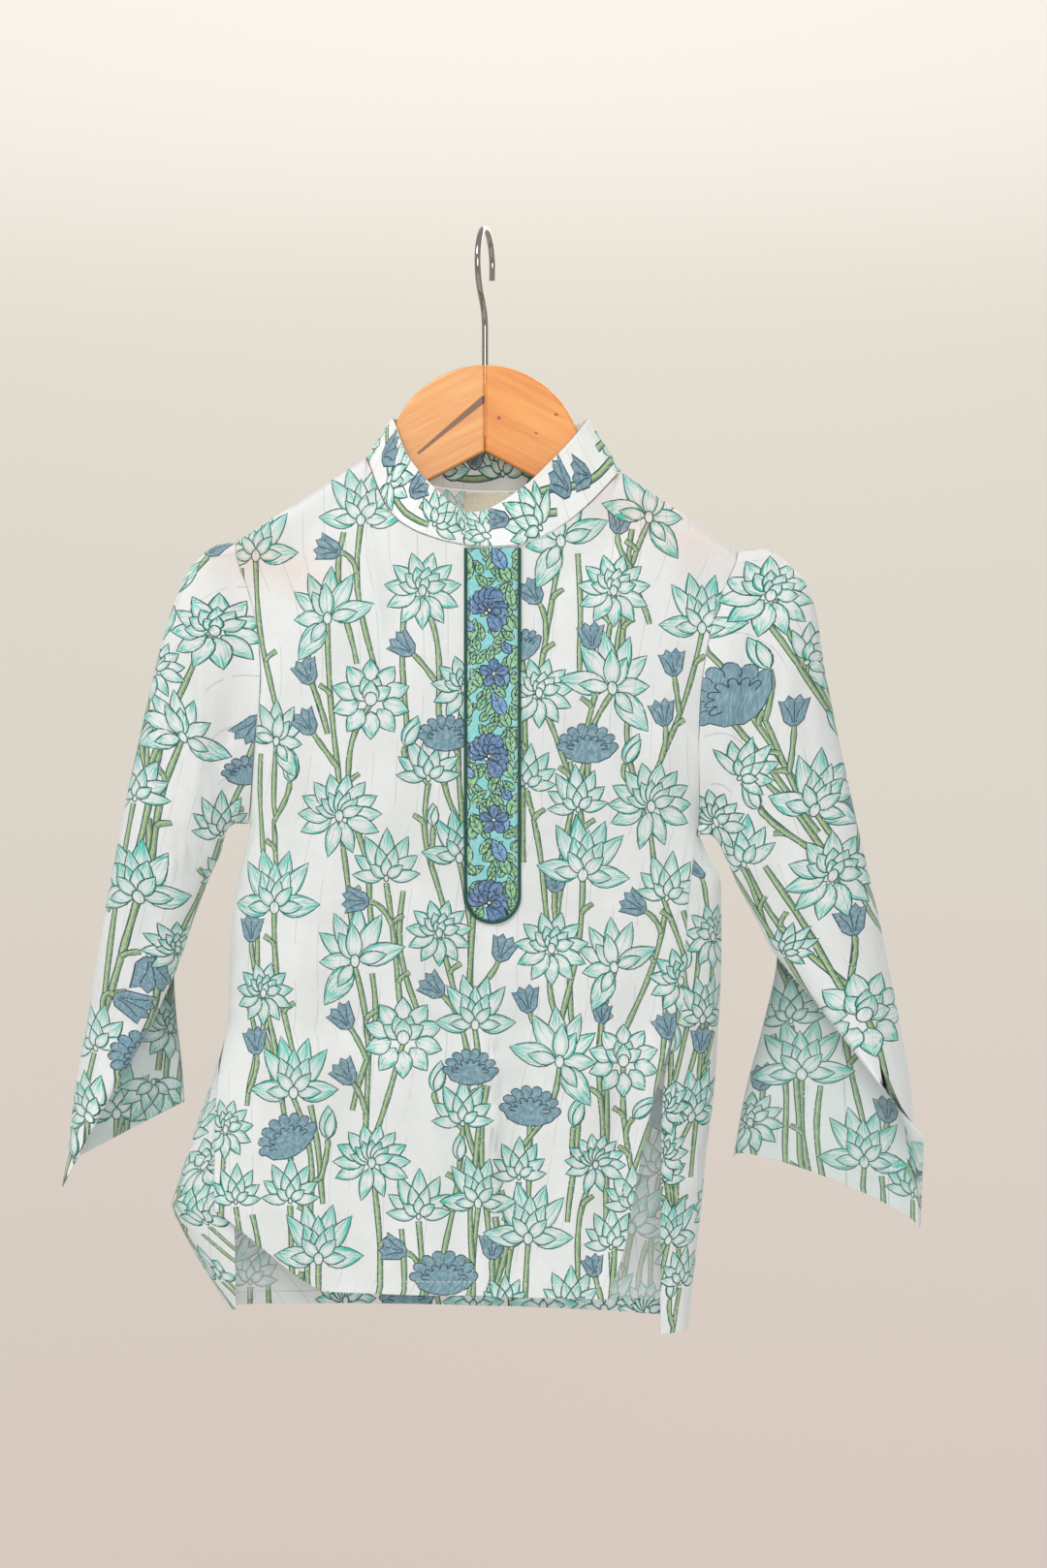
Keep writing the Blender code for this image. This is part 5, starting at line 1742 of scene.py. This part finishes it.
def collar_shapes():
    """The collar's print, with its stems running along the band."""
    shapes = []
    for start, end, sway in COLLAR_STEMS:
        path = curved_path((start, 6), (end, 17), sway, 14)
        shapes += stem_shapes(path, STEM_WIDTH, (0, -1))
    for kind, rows in COLLAR_CHART.items():
        for row in rows:
            shapes += flower(kind, *row)
    return shapes


def unfolded(sheet, chart):
    """A chart whose x is as seen from the front, moved to distances along the panel's cloth."""
    return {
        kind: [(float(sheet.flattened(x, z)), z, size, turn) for x, z, size, turn in rows]
        for kind, rows in chart.items()
    }


# Flowers that only the back has: down its middle, and where its right edge comes round to the front.
BACK_MIDDLE = {
    "star": [(-14, -282, 1, 0), (-20, -186, 0.9, 0)],
    "cup": [(-16, -386, 1, 0), (-40, -690, 0.9, 0)],
    "sun": [(-12, -432, 0.9, 0)],
    "side": [(38, -702, 0.8, 0), (78, -704, 0.9, 0), (-8, -701, 0.7, 0)],
    "fan": [(-52, -698, 0.9, 0)],
    "open": [(-92, -698, 0.8, 0), (106, -704, 0.8, 0)],
    "tulip": [(4, -258, 1, 20), (-32, -302, 1, -30), (4, -362, 1, 15), (10, -410, 1, 0)],
}
BACK_EDGE = {
    "tulip": [(140, -419, 1, 0), (139, -532, 1, 0)],
    "star": [(147, -457, 0.9, 0), (112, -598, 0.8, 0)],
    "side": [(140, -510, 0.8, 0), (133, -573, 0.9, 0), (118, -652, 0.8, 0)],
    "bud": [(126, -479, 1, 0), (120, -532, 1, 0), (118, -690, 0.8, 0)],
    "cup": [(126, -680, 0.8, 0), (-190, -585, 1, 0), (-179, -640, 0.9, 0), (-172, -676, 0.8, 0)],
}


# What fills a bare place that no chart reaches, in turn, and how far it keeps from other flowers.
FILLERS = ("side", "tulip", "star", "cup", "bud", "open", "droop")
BARE_REACH = 34.0
TRY_EVERY = 9.0
# How far the stems on each sleeve's front lean, in degrees to the left.
SLEEVE_LEAN = {"left": -16.0, "right": 30.0}
# How far round a sleeve each half's print goes on past the outer fold, as a share of the whole.
PAST_FOLD = 0.07


def front_shapes(sheet):
    return laid_on(sheet, print_shapes(unfolded(sheet, CHARTS["front"]), 3))


def back_shapes(sheet):
    """The front's chart again, turned over, with the back's own flowers."""
    chart = {}
    for kind, rows in CHARTS["front"].items():
        chart[kind] = [(-x - 10, z + 12, size, -turn) for x, z, size, turn in rows]
        chart[kind] += BACK_MIDDLE.get(kind, [])
    chart = unfolded(sheet, chart)
    for kind, rows in BACK_EDGE.items():
        chart[kind] += [(float(sheet.round_the_side(x, z)), z, size, turn) for x, z, size, turn in rows]
    return laid_on(sheet, print_shapes(filled(sheet, chart, (-240, 240), 13), 5))


def sleeve_shapes(sheet):
    """The front half's print, then the back half's, each laid out as it is seen from the front."""
    side, away = sheet.side, Sleeve(sheet.side, "back")
    reach = (-290, -130) if side == "left" else (130, 290)
    front = laid_on(sheet, print_shapes(CHARTS[f"sleeve_{side}"], 7, SLEEVE_LEAN[side]))
    back = laid_on(away, print_shapes(filled(away, CHARTS[f"cuff_{side}"], reach, 17), 9))
    for shape in front:
        shape.place[:, 0] = np.minimum(shape.place[:, 0], 0.5 + PAST_FOLD)
    for shape in back:
        shape.place[:, 0] = np.maximum(shape.place[:, 0], 0.5 - PAST_FOLD / 4)
    return back + front


def filled(sheet, chart, reach, seed):
    """The chart with more flowers wherever the sheet has a wide bare place."""
    random = np.random.default_rng(seed)
    chart = {kind: list(rows) for kind, rows in chart.items()}
    x, z = np.meshgrid(np.arange(*reach, TRY_EVERY), np.arange(-180.0, -720.0, -TRY_EVERY))
    places = np.column_stack([x.ravel(), z.ravel()]) + random.uniform(-4, 4, (x.size, 2))
    across, down = sheet.from_flat(places).T
    on_cloth = (across > 0.01) & (across < 0.99) & (down > 0.02) & (down < sheet.rows - 0.02)
    if isinstance(sheet, Sleeve):
        on_cloth &= across > 0.5
    taken = np.array([row[:2] for rows in chart.values() for row in rows], float)
    for place in places[on_cloth]:
        if np.min(np.hypot(*(taken - place).T)) > BARE_REACH:
            kind = FILLERS[len(taken) % len(FILLERS)]
            chart.setdefault(kind, []).append((*place, 0.9, random.uniform(-15, 15)))
            taken = np.vstack([taken, place])
    return chart


def bare_hems(rows, width):
    """Unprinted strips along edges given by (across, down) to (across, down)."""
    shapes = []
    for a0, d0, a1, d1 in rows:
        strip = Shape(np.zeros((4, 2)), "bare")
        strip.place = ribbon(np.array([(a0, d0), (a1, d1)]), width)
        shapes.append(strip)
    return shapes


SLITS = [(0.004, 0.66, 0.004, 1.0), (0.996, 0.66, 0.996, 1.0)]


def build_sheets():
    """Each printed cloth's name, CAD node, sheet, print, thickness and how faded its wrong side is."""
    front, back, collar, placket = Panel("front"), Panel("back"), Collar(), Placket()
    rows = [
        ("front", "front_panel", front, front_shapes(front), CLOTH, 0.45),
        ("back", "back_panel", back, back_shapes(back), CLOTH, 0.45),
    ]
    for side in ("left", "right"):
        sleeve = Sleeve(side, "front")
        shapes = sleeve_shapes(sleeve) + bare_hems(SLITS, 0.008)
        rows.append((side, f"sleeve_{side}", sleeve, shapes, CLOTH, CUFF_FADE))
    return rows + [
        ("collar", "collar_band", collar, laid_on(collar, collar_shapes()), COLLAR_CLOTH, 0.05),
        ("placket", "placket", placket, laid_on(placket, placket_shapes()), CLOTH, 0.0),
    ]


def belongs(thing, node):
    """The object rides on the garment and takes its CAD node's place, whose part is hidden."""
    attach(thing, "root")
    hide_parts(node)


def build_garment():
    cotton = printed_cotton()
    thread = plain_cloth("white_thread", (0.95, 0.95, 0.93), 900.0, 0.0002)
    for key, node, sheet, shapes, thickness, wrong_side in build_sheets():
        cloth = cloth_object(f"kurta_{node}", sheet, shapes, thickness, wrong_side, cotton)
        sewn = stitches(f"stitches_{node}", sheet, STITCH_ROWS[key], thickness / 2, thread)
        belongs(cloth, node)
        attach(sewn, "root")


def build_label():
    across = np.linspace(LABEL["left"], LABEL["right"], 40)
    x, z = np.meshgrid(across, np.linspace(LABEL["top"], LABEL["bottom"], 16))
    share = share_at("back", x, z)
    points = panel_point("back", share, z, top_height("back", share))
    points[..., 1] -= WALL / 2 + LABEL["wall"] / 2 + SEAM_GAP * 2
    cream = plain_cloth("cream_tape", (1.0, 0.97, 0.88), 700.0, 0.0003)
    tape = tape_object("kurta_label", points, 0.5, cream)
    belongs(tape, "neck_label")


def piping_points():
    """Down the placket's left edge, round its lower end and up its right edge."""
    out = PLACKET_HALF + SEAM_GAP + PIPING_RADIUS
    low = PLACKET_BOTTOM + PLACKET_HALF
    turn = np.linspace(math.pi, 2 * math.pi, 40)
    straight = np.linspace(PLACKET_TOP, low, 90)[:-1]
    x = np.concatenate([np.full(89, -out), out * np.cos(turn), np.full(89, out)]) + PLACKET_MIDDLE
    z = np.concatenate([straight, low + out * np.sin(turn), straight[::-1]])
    points = front_at(x, z)
    points[:, 1] -= WALL / 2 + SEAM_GAP * 1.5 + PIPING_RADIUS
    return points


def build_piping():
    green = plain_cloth("green_cord", (0.10, 0.30, 0.27), 900.0, 0.0003)
    cord = wire_object("kurta_piping", piping_points(), 1.0, green)
    belongs(cord, "placket_piping")


def build_hook():
    wire = wire_object("hook_wire", hook_points(), WIRE / 2, chrome(), 8)
    belongs(wire, "hanger_hook")


def finish_wood():
    for side in ("left", "right"):
        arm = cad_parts[f"hanger_arm_{side}"]
        arm.data.materials.clear()
        arm.data.materials.append(maple(f"maple_{side}", side))


# The cove, in metres, and its wall's tones from the floor up, which are painted light and shade: darker and
# warmer near the floor, brightest at the top.
COVE_RADIUS = 5.2
COVE_ROUND = 1.7
COVE_SIDES = 128
FLOOR = -1.7
WALL_TOP = 4.0
WALL_PAINTED_LIGHT_TONES = ((0.935, 0.878, 0.84), (0.945, 0.92, 0.872), (1.0, 0.98, 0.945))


def build_cove():
    """A floor that curves up into a wall all round. Soft light passes it, so that it shades evenly."""
    turn = np.linspace(0, math.pi / 2, 13)
    profile = [(0.01, FLOOR), (0.8, FLOOR)]
    profile += [
        (COVE_RADIUS - COVE_ROUND * (1 - math.sin(a)), FLOOR + COVE_ROUND * (1 - math.cos(a))) for a in turn
    ]
    profile.append((COVE_RADIUS, WALL_TOP))
    around = np.linspace(0, 2 * math.pi, COVE_SIDES + 1)
    r, z = np.array(profile).T
    circles = [np.outer(r, np.cos(around)), np.outer(r, np.sin(around)), np.outer(z, np.ones(len(around)))]
    n = Nodes("pale_wall")
    height = n.parts(n.place())[2]
    low, middle, high = (tone(colour) for colour in WALL_PAINTED_LIGHT_TONES)
    # Painted light and shade: the wall darkens towards the floor and brightens towards the top.
    wall = n.mix(n.steps(height, FLOOR, 0.1), low, middle)
    wall = n.mix(n.steps(height, 0.36, 0.95), wall, high)
    cove = tape_object("cove", np.stack(circles, axis=-1) / MM, 1.0, n.finish(wall, 0.95))
    cove.visible_diffuse = False
    cove.visible_shadow = False


def area_light(name, place, aim, size, power, colour):
    lamp = bpy.data.lights.new(name, "AREA")
    lamp.shape = "DISK"
    lamp.size = size
    lamp.energy = power
    lamp.color = colour
    thing = placed(name, lamp)
    thing.location = place
    thing.rotation_euler = (Vector(aim) - Vector(place)).to_track_quat("-Z", "Y").to_euler()


def build_light():
    middle = (0.0, 0.0, -0.35)
    area_light("key", (-0.9, -1.8, 1.5), middle, 1.2, 38.0, (1.0, 1.0, 0.99))
    area_light("front", (0.2, -2.9, -0.1), middle, 1.0, 22.0, (1.0, 1.0, 1.0))
    area_light("back", (0.9, 2.0, 0.9), middle, 1.6, 22.0, (1.0, 1.0, 1.0))
    area_light("wall", (0.0, 2.6, 2.6), (0.0, 5.2, 1.5), 2.0, 32.0, (1.0, 0.99, 0.97))
    world = bpy.data.worlds.new("pale_room")
    world.use_nodes = True
    sky = world.node_tree.nodes["Background"]
    sky.inputs["Color"].default_value = tone((0.93, 0.93, 0.925))
    sky.inputs["Strength"].default_value = 0.70
    bpy.context.scene.world = world
    bpy.context.scene.view_settings.view_transform = "Standard"


# The camera, in metres.
CAMERA_PLACE = (0.025, -3.0, -0.3585)
FRAME_HEIGHT = 1.019  # what the picture's height takes in at the garment


def build_camera():
    lens = bpy.data.cameras.new("camera")
    lens.sensor_width = 36.0
    lens.lens = 36.0 * -CAMERA_PLACE[1] / FRAME_HEIGHT
    camera = placed("camera", lens)
    camera.location = CAMERA_PLACE
    camera.rotation_euler = (math.pi / 2, 0.0, 0.0)
    bpy.context.scene.camera = camera


build_garment()
build_label()
build_piping()
build_hook()
finish_wood()
build_cove()
build_light()
build_camera()
